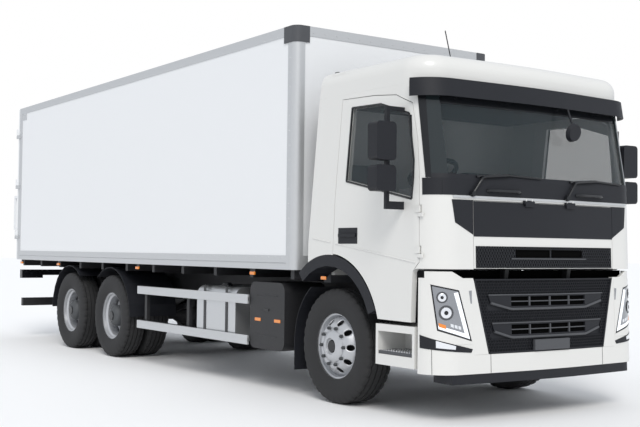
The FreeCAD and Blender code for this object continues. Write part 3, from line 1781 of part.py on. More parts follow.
def build_steering_wheel(middle, dash_rear, dash_top):
    """Steering wheel with two spokes on a leaning column that starts at the dashboard."""
    radius = s.steering_wheel_radius
    bar = s.steering_rim_radius
    upright = math.cos(math.radians(steering_lean_degrees))
    leaning = math.sin(math.radians(steering_lean_degrees))
    length = s.steering_column_length
    foot_y = dash_rear - s.dash_depth / 4
    foot_z = dash_top - s.dash_height / 3
    hub_y = foot_y + length * leaning
    hub_z = foot_z + length * upright
    lean = Rotation(Vector(1, 0, 0), -steering_lean_degrees)
    flat = lean * Rotation(Vector(0, 1, 0), 90)
    section = ((-bar, radius), (-bar, radius - bar * 2), (bar, radius - bar * 2), (bar, radius))
    rim = place(ring(rear_rim_sides, section), middle, hub_y, hub_z, flat)
    column = doc.addObject("Part::Prism", "Column")
    column.Polygon = round_sides
    bind(column, Circumradius=bar * 3, Height=length)
    place(column, middle, foot_y, foot_z, lean)
    spokes = doc.addObject("Part::Box", "Spokes")
    bind(spokes, Length=(radius - bar) * 2, Width=bar * 3, Height=bar)
    across_y = hub_y - bar * (3 / 2 * upright) - bar * (leaning / 2)
    across_z = hub_z + bar * (3 / 2 * leaning) - bar * (upright / 2)
    place(spokes, middle - (radius - bar), across_y, across_z, lean)
    dash_zone = box(
        (middle - s.dash_depth, middle + s.dash_depth),
        (dash_rear - s.dash_depth - s.seat_gap, dash_rear + s.seat_gap),
        (dash_top - s.dash_height - s.overrun, dash_top + s.seat_gap),
    )
    named(cut(fuse(rim, column, spokes), dash_zone), "steering_wheel")


def mirror_on(side):
    """Two mirror housings on an upright bar whose feet meet the door's flat side."""
    outer = side - s.mirror_reach
    inner = outer + s.mirror_width
    along = front_axle_y - s.mirror_front_reach
    deep = (along, along + s.mirror_depth)
    low = s.mirror_bottom
    edge = s.mirror_edge_radius
    lower = prism("XZ", deep, rectangle((outer, inner), (low, low + s.mirror_lower_height), edge))
    upper_low = low + s.mirror_lower_height + s.overrun
    upper_top = upper_low + s.mirror_upper_height
    upper = prism("XZ", deep, rectangle((outer, inner), (upper_low, upper_top), edge))
    bar = s.mirror_arm_radius * 2
    bar_y = (along + s.mirror_depth - bar, along + s.mirror_depth)
    foot_low = low - s.mirror_foot_drop
    arm_top = upper_top + s.mirror_foot_drop
    stand = box((inner - bar, inner), bar_y, (foot_low, arm_top))
    top_tie = box((inner - bar, side), bar_y, (arm_top - bar, arm_top))
    foot_tie = box((inner - bar, side), bar_y, (foot_low, foot_low + bar * 2))
    return fuse(lower, upper, stand, top_tie, foot_tie)


# Front end that stays on the chassis


def front_ring(inset, wall):
    """The front column as a hollow skin, set back by an inset and a wall thick."""
    tall = (-s.cab_height, s.cab_height)
    outer = cab_column(cab_along(0), cab_up(1 / 3), lower_lean_degrees, tall, inset)
    inner = cab_column(cab_along(0), cab_up(1 / 3), lower_lean_degrees, tall, inset + wall)
    return outer, cut(outer, inner)


def build_front_end():
    """Bumper with its plate and brackets, grille, lip, headlamps, steps and intake duct."""
    far = cab_half * 2
    front = cab_along(0) - s.cab_corner_radius
    fit = s.seat_gap
    wall = s.bumper_wall
    grille = s.grille_half_width
    rear = front_axle_y - s.bumper_rear_reach
    outer, skin = front_ring(s.bumper_inset, wall)
    zone = box((-far, far), (front, rear), (s.bumper_bottom, s.bumper_top))
    grille_hole = box((-grille, grille), (front, rear), (s.grille_bottom, s.bumper_top + s.overrun))
    lamp_low = s.headlamp_bottom
    lamp_hole = box((-far, -grille - wall), (front, rear - wall), (lamp_low, s.headlamp_top))
    bracket = box(
        (-s.frame_half_width, -s.frame_half_width + s.frame_rail_flange),
        (cab_along(0) + wall / 2, rail_front_y),
        (s.bumper_bottom + wall, s.grille_bottom - wall),
    )
    plate_y = -overall_length / 2
    plate = box(
        (-s.plate_width / 2, s.plate_width / 2),
        (plate_y, cab_along(0) + wall),
        (s.plate_bottom, s.plate_bottom + s.plate_height),
    )
    body = cut(common(skin, zone), grille_hole, lamp_hole, mirrored(lamp_hole))
    trimmed_bracket = common(bracket, outer)
    named(fuse(body, trimmed_bracket, mirrored(trimmed_bracket)), "bumper")

    panel_outer, panel = front_ring(s.bumper_inset + fit, s.grille_thickness)
    panel_zone = box((-grille + fit, grille - fit), (front, rear), (s.grille_bottom + fit, s.grille_top))
    frame_bar = s.grille_frame_bar
    middle = s.grille_bottom + (s.grille_top - s.grille_bottom) * grille_bar_share
    windows = []
    for low, high in (
        (s.grille_bottom + frame_bar, middle - frame_bar / 2),
        (middle + frame_bar / 2, s.grille_top - frame_bar),
    ):
        windows.append(box((-grille + frame_bar * 2, grille - frame_bar * 2), (front, rear), (low, high)))
    slats = []
    count = int(s.grille_slat_count.value)
    for number in range(count):
        low = s.grille_bottom + frame_bar + (s.grille_top - s.grille_bottom - frame_bar * 2) * (number / count)
        slats.append(box((-grille + fit, grille - fit), (front, rear), (low, low + s.grille_slat_height)))
    slat_outer, slat_skin = front_ring(s.bumper_inset + s.grille_thickness / 3, s.grille_thickness / 3)
    slat_part = common(slat_skin, fuse(*slats))
    named(fuse(cut(common(panel, panel_zone), *windows), slat_part, plate), "main_grille")

    lip_outer, lip_skin = front_ring(s.bumper_inset * 2, s.lip_depth)
    lip = s.lip_half_width
    named(common(lip_skin, box((-lip, lip), (front, rear), (s.lip_bottom, s.bumper_bottom))), "lower_lip")

    lamp_outer, lamp_skin = front_ring(s.bumper_inset + fit, s.headlamp_depth)
    lamp_zone = box(
        (-far, -grille - wall - fit),
        (front, rear - wall - fit),
        (lamp_low + fit, s.headlamp_top - fit),
    )
    named(pair(common(lamp_skin, lamp_zone)), "headlamps")
    build_steps()
    build_intake()


def build_steps():
    """Entry steps below both doors, each with an open tread, hung on the frame rail."""
    outer = -cab_half + s.step_inset
    inner = outer + s.step_depth
    start = front_axle_y - s.step_front_reach
    end = front_axle_y - s.step_rear_reach
    wall = s.step_wall
    case = box((outer, inner), (start, end), (s.step_bottom, s.step_top))
    tread = box(
        (outer - s.overrun, inner - wall),
        (start + wall, end - wall),
        (s.step_tread_height, s.step_top - wall * 2),
    )
    middle = (start + end) / 2
    arm = box(
        (inner - wall, -s.frame_half_width),
        (middle - wall, middle + wall),
        (s.step_top - wall, s.step_top + wall * 2),
    )
    post = box((inner - wall, inner), (middle - wall, middle + wall), (s.step_top - wall * 2, s.step_top + wall * 2))
    named(pair(fuse(cut(case, tread), arm, post)), "step_boxes")


def build_intake():
    """Upright air intake duct between the cab and the box, on a bracket from the frame."""
    outer = -s.intake_offset - s.intake_width
    start = box_front_y - s.intake_gap - s.intake_depth
    duct = box((outer, outer + s.intake_width), (start, start + s.intake_depth), (s.intake_bottom, s.intake_top))
    bracket_low = s.intake_bottom - s.bracket_height / 2
    bracket = box(
        (outer, -s.frame_half_width + s.frame_rail_flange),
        (start, start + s.intake_depth),
        (bracket_low, s.intake_bottom),
    )
    foot = box(
        (-s.frame_half_width, -s.frame_half_width + s.frame_rail_flange),
        (start, start + s.intake_depth),
        (s.frame_top, bracket_low),
    )
    named(fuse(duct, bracket, foot), "intake_duct")


build_wheels()
build_front_axle()
build_knuckles()
build_rear_axles()
build_frame()
build_driveline()
build_side_equipment()
build_guards()
build_mudguards()
build_box()
build_rear_doors()
build_cab()
build_interior()
doc.recompute()

# Every object is checked, then each finished piece is written to its own file
for obj in doc.Objects:
    if "Invalid" in obj.State or "Error" in obj.State:
        raise RuntimeError(f"{obj.Label} could not be built")

os.makedirs("parts", exist_ok=True)
for label, obj in nodes.items():
    shape = obj.Shape
    if shape.isNull() or not shape.isValid():
        raise RuntimeError(f"{label} has no valid shape")
    shape.exportStep(f"parts/{label}.step")
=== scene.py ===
# %% [markdown]
# A rigid box truck, dressed around its packed CAD model.
# The CAD gives every main solid its place. This lesson adds what a solid model leaves
# out: tread, smooth rims, lamps, grille mesh, wipers, rivets and the finishes. Lengths are
# in metres. The front looks along -Y, the truck's right side is at -X and the ground is z = 0.

# %% The frame
import math

import bmesh
import bpy
import numpy as np
from mathutils import Matrix, Vector


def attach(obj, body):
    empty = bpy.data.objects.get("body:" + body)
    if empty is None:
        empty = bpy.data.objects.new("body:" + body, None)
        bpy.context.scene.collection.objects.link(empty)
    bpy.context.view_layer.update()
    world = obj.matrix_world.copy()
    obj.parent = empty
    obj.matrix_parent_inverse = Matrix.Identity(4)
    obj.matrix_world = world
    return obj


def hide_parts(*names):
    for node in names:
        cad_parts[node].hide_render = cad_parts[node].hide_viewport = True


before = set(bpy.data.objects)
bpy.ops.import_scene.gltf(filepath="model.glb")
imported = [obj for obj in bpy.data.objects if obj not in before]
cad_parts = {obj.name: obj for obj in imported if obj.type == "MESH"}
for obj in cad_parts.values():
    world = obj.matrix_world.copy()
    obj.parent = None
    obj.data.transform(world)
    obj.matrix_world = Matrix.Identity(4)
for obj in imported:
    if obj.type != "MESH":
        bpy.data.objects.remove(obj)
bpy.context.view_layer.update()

scene = bpy.context.scene

# %% [markdown]
# A finish is a small net of nodes. Linking them one by one hides the formula, so a small
# class wraps a node's output and lets it stand in sums, differences and products. Any
# other node comes from one method that takes its settings and its inputs.


# %% Shader maths
class Wire:
    """An output of a shader node; +, - and * with a wire or a number add a Math node."""

    def __init__(self, tree, socket=None):
        self.tree = tree
        self.socket = socket

    def node(self, kind, output=0, settings=None, inputs=None):
        """A new node in the same tree: its settings, then a value or a link for each input."""
        made = self.tree.nodes.new(kind)
        for setting, value in (settings or {}).items():
            setattr(made, setting, value)
        for place, value in (inputs or {}).items():
            if isinstance(value, Wire):
                self.tree.links.new(value.socket, made.inputs[place])
            else:
                made.inputs[place].default_value = value
        return Wire(self.tree, made.outputs[output])

    def maths(self, operation, first, second):
        """The operation on two wires or numbers."""
        return self.node("ShaderNodeMath", 0, {"operation": operation}, {0: first, 1: second})

    def __add__(self, other):
        return self.maths("ADD", self, other)

    def __sub__(self, other):
        return self.maths("SUBTRACT", self, other)

    def __rsub__(self, other):
        return self.maths("SUBTRACT", other, self)

    def __mul__(self, other):
        return self.maths("MULTIPLY", self, other)

    __radd__ = __add__
    __rmul__ = __mul__


def noise(tree, scale):
    """Smooth noise between 0 and 1. It reads Object coordinates, so it stays on the piece."""
    places = Wire(tree).node("ShaderNodeTexCoord", "Object")
    return places.node("ShaderNodeTexNoise", "Fac", inputs={"Scale": scale, "Vector": places})


print("operators of a wire", [name for name in vars(Wire) if name[2:5] in ("add", "sub", "mul")])

# %% [markdown]
# A finish is one material: base colour, roughness and metal share. A faint noise in the
# roughness and the bump keeps large areas from looking like toys. It could be painted as
# a picture, but noise needs no picture and has no seams.

# %% A finish
unevenness, blotch_scale = 0.06, 6.0
packed_materials = len(bpy.data.materials)


def finish(name, colour, roughness, metal=0.0, coat=0.0, alpha=1.0, grain=0.0,
           grain_scale=400.0, glow=0.0, shine=0.5):
    """Roughness = its mean + 0.06 x (noise - 1/2). The bump is grain metres high."""
    material = bpy.data.materials.new(name)
    material.use_nodes = True
    tree = material.node_tree
    shader = tree.nodes["Principled BSDF"]
    constants = {
        "Base Color": (*colour, 1.0), "Metallic": metal, "Coat Weight": coat,
        "Alpha": alpha, "Specular IOR Level": shine,
    }
    if glow:
        constants |= {"Emission Color": (*colour, 1.0), "Emission Strength": glow}
    for socket, value in constants.items():
        shader.inputs[socket].default_value = value
    rough = roughness + unevenness * (noise(tree, blotch_scale) - 0.5)
    tree.links.new(rough.socket, shader.inputs["Roughness"])
    if grain:
        height = noise(tree, grain_scale)
        bump = height.node("ShaderNodeBump", "Normal", inputs={"Distance": grain, "Height": height})
        tree.links.new(bump.socket, shader.inputs["Normal"])
    return material


print("roughness varies by", unevenness / 2, "either way")

# %% [markdown]
# Paint is smooth under a thin coat, so its highlights are clear. Cast iron and the frame's
# paint are grainy. Bare metal has its colour in the reflection: a high metal share does that.

# %% Paint and metal
cab_white = finish("cab_white", (0.715, 0.71, 0.685), 0.30, coat=0.4)
box_white = finish("box_white", (0.80, 0.81, 0.82), 0.36, coat=0.2)
chassis_black = finish("chassis_black", (0.018, 0.018, 0.020), 0.52, grain=0.0005, grain_scale=220)
cast_grey = finish("cast_grey", (0.09, 0.095, 0.10), 0.62, metal=0.4, grain=0.001, grain_scale=150)
extrusion = finish("extrusion", (0.56, 0.57, 0.58), 0.42, metal=0.45)
tank_metal = finish("tank_metal", (0.60, 0.61, 0.62), 0.35, metal=0.85)
wheel_silver = finish("wheel_silver", (0.52, 0.53, 0.55), 0.36, metal=0.5)
bright_steel = finish("bright_steel", (0.58, 0.59, 0.61), 0.24, metal=1.0)
mirror_face = finish("mirror_face", (0.75, 0.77, 0.78), 0.06, metal=1.0)
print("paints and metals", len(bpy.data.materials) - packed_materials)

# %% [markdown]
# Black plastic on a truck is never quite black, and its grain spreads the highlights. What
# lies deep behind an opening is painted shade: near black with hardly any reflection, so it
# reads as a dark gap.

# %% Plastic, rubber and cloth
anthracite = finish("anthracite", (0.014, 0.015, 0.019), 0.50, grain=0.0004, grain_scale=900,
                    shine=0.28)
# shade_black is painted shade for what lies deep behind openings.
shade_black = finish("shade_black", (0.002, 0.002, 0.002), 0.90, shine=0.04)
gloss_black = finish("gloss_black", (0.008, 0.009, 0.011), 0.24, coat=0.15, shine=0.35)
frame_grey = finish("frame_grey", (0.075, 0.078, 0.085), 0.48, shine=0.35)
cabin_grey = finish("cabin_grey", (0.20, 0.20, 0.205), 0.60, grain=0.0004, grain_scale=500)
tread_rubber = finish("tread_rubber", (0.020, 0.020, 0.021), 0.78, grain=0.0006, grain_scale=260)
seat_cloth = finish("seat_cloth", (0.045, 0.047, 0.052), 0.85, grain=0.0008, grain_scale=500)
print("with plastic, rubber and cloth", len(bpy.data.materials) - packed_materials)

# %% [markdown]
# The windscreen is thin tinted glass. Light should pass straight through it, so it is partly
# clear by its alpha and needs no bending of light. Lamps are bright under a glossy coat, and
# only the daylight strips glow a little.

# %% Glass and lamps
tinted_glass = finish("tinted_glass", (0.022, 0.036, 0.042), 0.06, coat=0.5, alpha=0.32)
pillar_glass = finish("pillar_glass", (0.014, 0.020, 0.022), 0.10, coat=0.25)
lamp_dark = finish("lamp_dark", (0.30, 0.31, 0.33), 0.22, metal=0.5, coat=0.8)
lamp_clear = finish("lamp_clear", (0.78, 0.80, 0.83), 0.12, metal=0.35, coat=1.0)
lamp_white = finish("lamp_white", (0.90, 0.93, 0.96), 0.20, coat=0.6, glow=0.35)
lamp_amber = finish("lamp_amber", (0.80, 0.24, 0.02), 0.25, coat=0.8)
lamp_red = finish("lamp_red", (0.50, 0.012, 0.010), 0.25, coat=0.8)
print("all finishes", len(bpy.data.materials) - packed_materials)

# %% [markdown]
# The packed solids already have the truck's proportions, so most are kept and only take
# the finish of their real material. Only wheels and grille are made anew further down.

# %% Finishes of the CAD nodes
node_finishes = (
    (cab_white, "cab_roof cab_front_panel cab_shell front_lid cab_door_right cab_door_left "
                "bumper step_boxes"),
    (box_white, "box_side_walls box_front_wall box_roof rear_door_right rear_door_left"),
    (extrusion, "box_rails rear_frame"),
    (anthracite, "arch_trims lower_lip sun_visor mirror_right mirror_left front_mudguards "
                 "rear_mudguards"),
    (chassis_black, "front_axle knuckle_right knuckle_left rear_axles chassis_frame "
                    "propeller_shaft rear_underrun service_box side_guards box_floor"),
    (frame_grey, "exhaust_box intake_duct"),
    (cast_grey, "engine_block"),
    (tank_metal, "fuel_tank"),
    (cabin_grey, "cab_floor dashboard"),
    (gloss_black, "steering_wheel tail_lamps"),
    (seat_cloth, "seats"),
    (tinted_glass, "windscreen door_glass_right door_glass_left"),
    (lamp_dark, "headlamps"),
)
for material, names in node_finishes:
    for name in names.split():
        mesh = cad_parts[name].data
        mesh.materials.clear()
        mesh.materials.append(material)
print("nodes with a finish", sum(len(names.split()) for _, names in node_finishes))

# %% [markdown]
# New pieces are surfaces worked out as arrays: a grid of points from two parameters, then
# quads by index arithmetic. Modelling by hand would do too, but a formula keeps every
# copy alike and lets the lesson say in words what each surface is.


# %% Grids and slabs
def grid_faces(rows, columns, wrap_rows=False, wrap_columns=False):
    """Quads (i, j), (i+1, j), (i+1, j+1), (i, j+1) of a grid, wrapped round where asked."""
    i = np.arange(rows if wrap_rows else rows - 1)[:, None]
    j = np.arange(columns if wrap_columns else columns - 1)[None, :]
    k, l = (i + 1) % rows, (j + 1) % columns
    corners = (i * columns + j, k * columns + j, k * columns + l, i * columns + l)
    return np.stack(np.broadcast_arrays(*corners), -1).reshape(-1, 4)


def slab(outer, inner):
    """Closed patch: each row runs along the outer grid and back on the inner one."""
    rows, columns = outer.shape[:2]
    loop = np.concatenate([outer, inner[:, ::-1]], axis=1)
    walls = grid_faces(rows, 2 * columns, wrap_columns=True)
    j = np.arange(columns - 1)
    end = np.stack([j, j + 1, 2 * columns - 2 - j, 2 * columns - 1 - j], -1)
    far_end = end[:, ::-1] + (rows - 1) * 2 * columns
    return loop.reshape(-1, 3), np.concatenate([walls, end, far_end])


print("a grid of 3 x 4 points has", len(grid_faces(3, 4)), "quads")

# %% [markdown]
# A part is a pair: its points and its faces, as point numbers. Parts of one finish on one
# body are joined before they become a piece, and the left side is the right side mirrored.


# %% Joining and mirroring
def listed(faces):
    """Faces as plain lists of point numbers."""
    return faces.tolist() if isinstance(faces, np.ndarray) else [list(face) for face in faces]


def joined(*parts):
    """Several parts as one: the point numbers of each count on from the parts before it."""
    starts = np.cumsum([0] + [len(points) for points, _ in parts[:-1]]).tolist()
    moved = [
        [corner + start for corner in face]
        for start, (_, faces) in zip(starts, parts) for face in listed(faces)
    ]
    return np.concatenate([np.asarray(points) for points, _ in parts]), moved


def flipped(part):
    """The same part on the truck's other side: x becomes -x."""
    points, faces = part
    return np.asarray(points) * (-1, 1, 1), faces


def both(part):
    """The part and its mirror image as one."""
    return joined(part, flipped(part))


def on_side(part, side):
    """A part made for the right side, mirrored where the side is the left."""
    return flipped(part) if side == "left" else part


print("one triangle and its mirror image:", len(both((np.eye(3), [(0, 1, 2)]))[1]), "faces")

# %% [markdown]
# A mirrored shape is inside out, so every new mesh has its faces turned outwards. Smooth
# shading with sharp edges past an angle makes few faces look round. The piece then rides
# on a body of the CAD model, which carries it when a joint moves.


# %% Making a piece
def add(name, part, body, material, sharp=35.0, weld=0.0):
    """Makes the piece, turns its faces outwards and lets it ride on its CAD body."""
    points, faces = part
    mesh = bpy.data.meshes.new(name)
    mesh.from_pydata(np.asarray(points, float).tolist(), [], listed(faces))
    work = bmesh.new()
    work.from_mesh(mesh)
    if weld:
        bmesh.ops.remove_doubles(work, verts=work.verts, dist=weld)
    bmesh.ops.recalc_face_normals(work, faces=work.faces)
    work.to_mesh(mesh)
    work.free()
    mesh.materials.append(material)
    mesh.shade_smooth()
    mesh.set_sharp_from_angle(angle=math.radians(sharp))
    piece = bpy.data.objects.new(name, mesh)
    scene.collection.objects.link(piece)
    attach(piece, body)
    return piece


print("CAD nodes to dress", len(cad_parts))

# %% [markdown]
# Edges of real parts are never sharp, and sheets have a wall. Both could be modelled point
# by point; a modifier does the same from one number and stays easy to change.


# %% Edges and walls
def soften(piece, width, segments=2):
    """Rounds the piece's edges with a bevel of the given width."""
    bevel = piece.modifiers.new("edge", "BEVEL")
    bevel.width = width
    bevel.segments = segments
    bevel.limit_method = "ANGLE"
    return piece


def thicken(piece, depth):
    """Gives a sheet its wall, half of it on either side."""
    wall = piece.modifiers.new("wall", "SOLIDIFY")
    wall.thickness = depth
    wall.offset = 0
    return piece


print("bevel steps", soften.__defaults__[0])

# %% [markdown]
# Wheels are turned shapes: a closed outline carried round the axle, so that no cap is
# needed. A ripple on the radius can notch the outline on its way round.


# %% Turned shapes
def turned(profile, steps, centre, ripple=None):
    """A closed profile of (x, radius) turned about the X axis: y = r cos t, z = r sin t.

    The ripple, where there is one, is added to the radius at each angle and profile place.
    """
    profile = np.asarray(profile, float)
    t = np.linspace(0, 2 * np.pi, steps, endpoint=False)[:, None]
    radius = np.broadcast_to(profile[:, 1], (steps, len(profile)))
    if ripple is not None:
        radius = radius + ripple(t, profile)
    x = np.broadcast_to(profile[:, 0], radius.shape)
    points = np.stack([x, radius * np.cos(t), radius * np.sin(t)], -1)
    return points.reshape(-1, 3) + centre, grid_faces(steps, len(profile), True, True)


print("a ring of 12 steps has", len(turned(((0, 1), (1, 1), (1, 2)), 12, 0)[1]), "quads")

# %% [markdown]
# Blocks make bars, plates and housings. All blocks of a piece come from one call on an
# array of centres, because hundreds of separate cubes would be slow.


# %% Blocks
def bars(centres, first, second, third):
    """Blocks: corner = centre + a first + b second + c third, with a, b and c -1 or 1."""
    centres = np.atleast_2d(np.asarray(centres, float))
    halves = [np.broadcast_to(np.asarray(half, float), centres.shape)
              for half in (first, second, third)]
    signs = np.array([(a, b, c) for a in (-1, 1) for b in (-1, 1) for c in (-1, 1)], float)
    points = centres[:, None] + sum(signs[None, :, k, None] * halves[k][:, None] for k in range(3))
    quads = np.array([(0, 1, 3, 2), (4, 6, 7, 5), (0, 4, 5, 1),
                      (2, 3, 7, 6), (0, 2, 6, 4), (1, 5, 7, 3)])
    faces = quads[None] + 8 * np.arange(len(centres))[:, None, None]
    return points.reshape(-1, 3), faces.reshape(-1, 4)


def block(low, high):
    """One block between two corners."""
    low, high = np.asarray(low, float), np.asarray(high, float)
    half = (high - low) / 2
    return bars([(low + high) / 2], (half[0], 0, 0), (0, half[1], 0), (0, 0, half[2]))


print("a block has", len(block((0, 0, 0), (1, 1, 1))[0]), "points")

# %% [markdown]
# Rivets, nuts and round lamps are short studs on a surface. Pipes, seals and handles are
# round bars along a path. Both are rings of points square to a direction.


# %% Studs and tubes
def studs(centres, axis, radius, length, sides=6, top=1.0):
    """Studs with round or six-sided ends; the far end's radius is top x the near one's."""
    centres = np.atleast_2d(np.asarray(centres, float))
    axis = np.asarray(axis, float) / np.linalg.norm(axis)
    side = np.cross(axis, (0, 0, 1) if abs(axis[2]) < 0.9 else (1, 0, 0))
    side /= np.linalg.norm(side)
    other = np.cross(axis, side)
    t = np.arange(sides) * 2 * np.pi / sides
    circle = np.cos(t)[:, None] * side + np.sin(t)[:, None] * other
    rings = np.stack([circle * radius, circle * radius * top + axis * length])
    points = centres[:, None, None] + rings[None]
    wall = grid_faces(2, sides, wrap_columns=True)
    shift = 2 * sides * np.arange(len(centres))
    walls = (wall[None] + shift[:, None, None]).reshape(-1, 4)
    near = np.arange(sides)[None] + shift[:, None]
    return points.reshape(-1, 3), walls.tolist() + near.tolist() + (near + sides).tolist()


def tube(path, radius, sides=8):
    """A round bar along a path: point = place + r (cos t side + sin t other), both square to it."""
    path = np.asarray(path, float)
    along = np.gradient(path, axis=0)
    along /= np.linalg.norm(along, axis=1)[:, None]
    level = np.array((0.13, 0.21, 0.97))  # no path here runs this way
    side = np.cross(along, level)
    side /= np.linalg.norm(side, axis=1)[:, None]
    other = np.cross(along, side)
    t = np.arange(sides) * 2 * np.pi / sides
    ring = np.cos(t)[None, :, None] * side[:, None] + np.sin(t)[None, :, None] * other[:, None]
    points = path[:, None] + radius * ring
    last = (len(path) - 1) * sides
    ends = [list(range(sides)), list(range(last, last + sides))]
    return points.reshape(-1, 3), grid_faces(len(path), sides, wrap_columns=True).tolist() + ends


print("a hexagonal stud has", len(studs((0, 0, 0), (0, 0, 1), 1, 1)[1]), "faces")

# %% [markdown]
# A truck tyre is a ring of rubber with a flat tread, round shoulders and a bulging wall.
# It is turned from one closed half-outline. Grooves run round the tread, and the shoulder
# is notched: the radius drops where a square wave of the angle is low.

# %% Section of a tyre
axle_z = 0.518
front_y, drive_y, tag_y = -3.4895, 1.3355, 2.7055
steps_round, notches_round, notch_depth = 216, 36, 0.009
tyre_outside = np.array([  # share of the half width, radius
    (0.78, 0.292), (0.84, 0.305), (0.93, 0.345), (1.0, 0.400), (0.985, 0.452), (0.93, 0.488),
    (0.86, 0.506), (0.80, 0.5125), (0.62, 0.516), (0.60, 0.504), (0.55, 0.504), (0.53, 0.5165),
    (0.25, 0.5178), (0.23, 0.505), (0.17, 0.505), (0.15, 0.518),
])
tyre_inside = np.array([(0.70, 0.300), (0.80, 0.36), (0.84, 0.42), (0.74, 0.478), (0.4, 0.49)])


def tyre(middle, width, axle_y):
    """Section from the right bead over the tread to the left one, then back along the inside."""
    half = width / 2
    outside = np.concatenate([tyre_outside * (-half, 1), tyre_outside[::-1] * (half, 1)])
    inside = np.concatenate([tyre_inside * (half, 1), tyre_inside[::-1] * (-half, 1)])

    def notches(angle, section):
        """The radius drops 9 mm on the shoulder wherever sin(36 t) is below -0.2."""
        share = np.abs(section[:, 0]) / half
        shoulder = (share > 0.5) & (share < 0.97) & (section[:, 1] > 0.485)
        return np.where(np.sin(notches_round * angle) < -0.2, -notch_depth, 0.0) * shoulder

    profile = np.concatenate([outside, inside])
    return turned(profile, steps_round, (middle, axle_y, axle_z), notches)


print("outline points of a tyre", 2 * (len(tyre_outside) + len(tyre_inside)))

# %% [markdown]
# The front wheels are single and the rear ones are twins. Both tyres of a twin pair are one
# piece, since they turn as one, and each piece takes the place of its plain CAD tyre.

# %% Tyres
single, twin = ((1.03, 0.300),), ((1.0945, 0.275), (0.7705, 0.275))  # middle, width of each
wheel_rows = (
    ("front", front_y, single, "tyre_front", "rim_front", "front_wheel"),
    ("drive", drive_y, twin, "tyres_drive", "rims_drive", "drive_wheels"),
    ("tag", tag_y, twin, "tyres_tag", "rims_tag", "tag_wheels"),
)
for label, axle_y, middles, tyre_node, _, body in wheel_rows:
    for side, sign in (("right", -1), ("left", 1)):
        part = joined(*[tyre(sign * middle, width, axle_y) for middle, width in middles])
        piece = add(f"tread_{label}_{side}", part, f"{body}_{side}", tread_rubber, sharp=28)
        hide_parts(f"{tyre_node}_{side}")
print("tyre triangles", 2 * len(piece.data.polygons), "for a pair")

# %% [markdown]
# A steel wheel starts as a rolled barrel with a flange at each side, a seat for the tyre's
# bead and a well in the middle, which lets the tyre be fitted. It is turned like the tyre.


# %% Rolled rims
def barrel(middle, width):
    """Section of the rim, 9 mm thick: from flange to flange outside, then back inside."""
    half = width * 0.40
    outer = np.array([
        (-half, 0.306), (-half + 0.012, 0.305), (-half + 0.016, 0.290), (-half + 0.045, 0.284),
        (-half * 0.42, 0.264), (half * 0.42, 0.264), (half - 0.045, 0.284), (half - 0.016, 0.290),
        (half - 0.012, 0.305), (half, 0.306),
    ])
    inner = outer[::-1] - (0, 0.009)
    inner[0] = (half, 0.296)
    inner[-1] = (-half, 0.296)
    return np.concatenate([outer, inner]) + (middle, 0)


for label, axle_y, middles, _, rim_node, body in wheel_rows:
    centre = np.array((0, axle_y, axle_z))
    barrels = joined(*[turned(barrel(-middle, width), 96, centre) for middle, width in middles])
    for side in ("right", "left"):
        rim = add(f"barrel_{label}_{side}", on_side(barrels, side), f"{body}_{side}", wheel_silver,
                  sharp=30)
        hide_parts(f"{rim_node}_{side}")
print("rim width", round(rim.dimensions.x, 3), "for a tag pair")

# %% [markdown]
# A pressed disc is welded into the barrel. The front disc bulges outwards; on the twin
# wheels the discs meet in the middle, so the outer wheel looks deep. Round hand holes go
# through each disc. Cutting them out would leave ragged faces, so the disc is made of
# sectors: a ring of points starts as the hole's circle and ends as the sector's edge.

# %% Discs with hand holes
hand_holes = 10
dish_radii = (0.10, 0.185, 0.200, 0.245, 0.262)
front_dish = (-1.176, -1.176, -1.170, -1.118, -1.090)  # x of the right disc at those radii
rear_dish = (-0.944, -0.944, -0.950, -0.992, -1.020)


def disc(dish, hole_radius=0.027, hole_circle=0.218, steps=9, rings=5):
    """place = (1 - u) hole + u edge, with u from 0 to 1; x is the dish's depth at that radius."""
    inner, outer = dish_radii[0], dish_radii[-1]
    half_turn = np.pi / hand_holes
    side = np.linspace(-1, 1, steps)[:-1]
    ones = np.ones_like(side)
    edge = np.concatenate([
        np.stack([ones, side], -1), np.stack([-side, ones], -1),
        np.stack([-ones, -side], -1), np.stack([side, -ones], -1),
    ])
    middle, reach = (inner + outer) / 2, (outer - inner) / 2
    cell_radius, cell_angle = middle + reach * edge[:, 0], half_turn * edge[:, 1]
    cell = np.stack([cell_radius * np.cos(cell_angle), cell_radius * np.sin(cell_angle)], -1)
    away = np.arctan2(cell[:, 1], cell[:, 0] - hole_circle)
    rim = np.stack([hole_circle + hole_radius * np.cos(away), hole_radius * np.sin(away)], -1)
    u = np.linspace(0, 1, rings)[:, None, None]
    flat = rim[None] * (1 - u) + cell[None] * u
    turn = (np.arange(hand_holes) * 2 * half_turn)[:, None, None]
    y = flat[..., 0] * np.cos(turn) - flat[..., 1] * np.sin(turn)
    z = flat[..., 0] * np.sin(turn) + flat[..., 1] * np.cos(turn)
    x = np.interp(np.hypot(y, z), dish_radii, dish)
    faces = grid_faces(*flat.shape[:2], wrap_columns=True)
    faces = faces[None] + flat.shape[0] * flat.shape[1] * np.arange(hand_holes)[:, None, None]
    return np.stack([x, y, z], -1).reshape(-1, 3), faces.reshape(-1, 4)


print("quads of a disc", len(disc(front_dish)[1]))

# %% [markdown]
# The disc is a sheet so far. Welding closes the joints between its sectors, and a wall
# of 10 mm gives the hand holes their edges.

# %% Pressed discs
disc_wall = 0.010
for label, axle_y, _, _, _, body in wheel_rows:
    points, faces = disc(front_dish if label == "front" else rear_dish)
    plate = points + (0, axle_y, axle_z), faces
    for side in ("right", "left"):
        pressed = add(f"disc_{label}_{side}", on_side(plate, side), f"{body}_{side}", wheel_silver,
                      weld=1e-5)
        thicken(pressed, disc_wall)
print("hand holes in a disc", hand_holes)

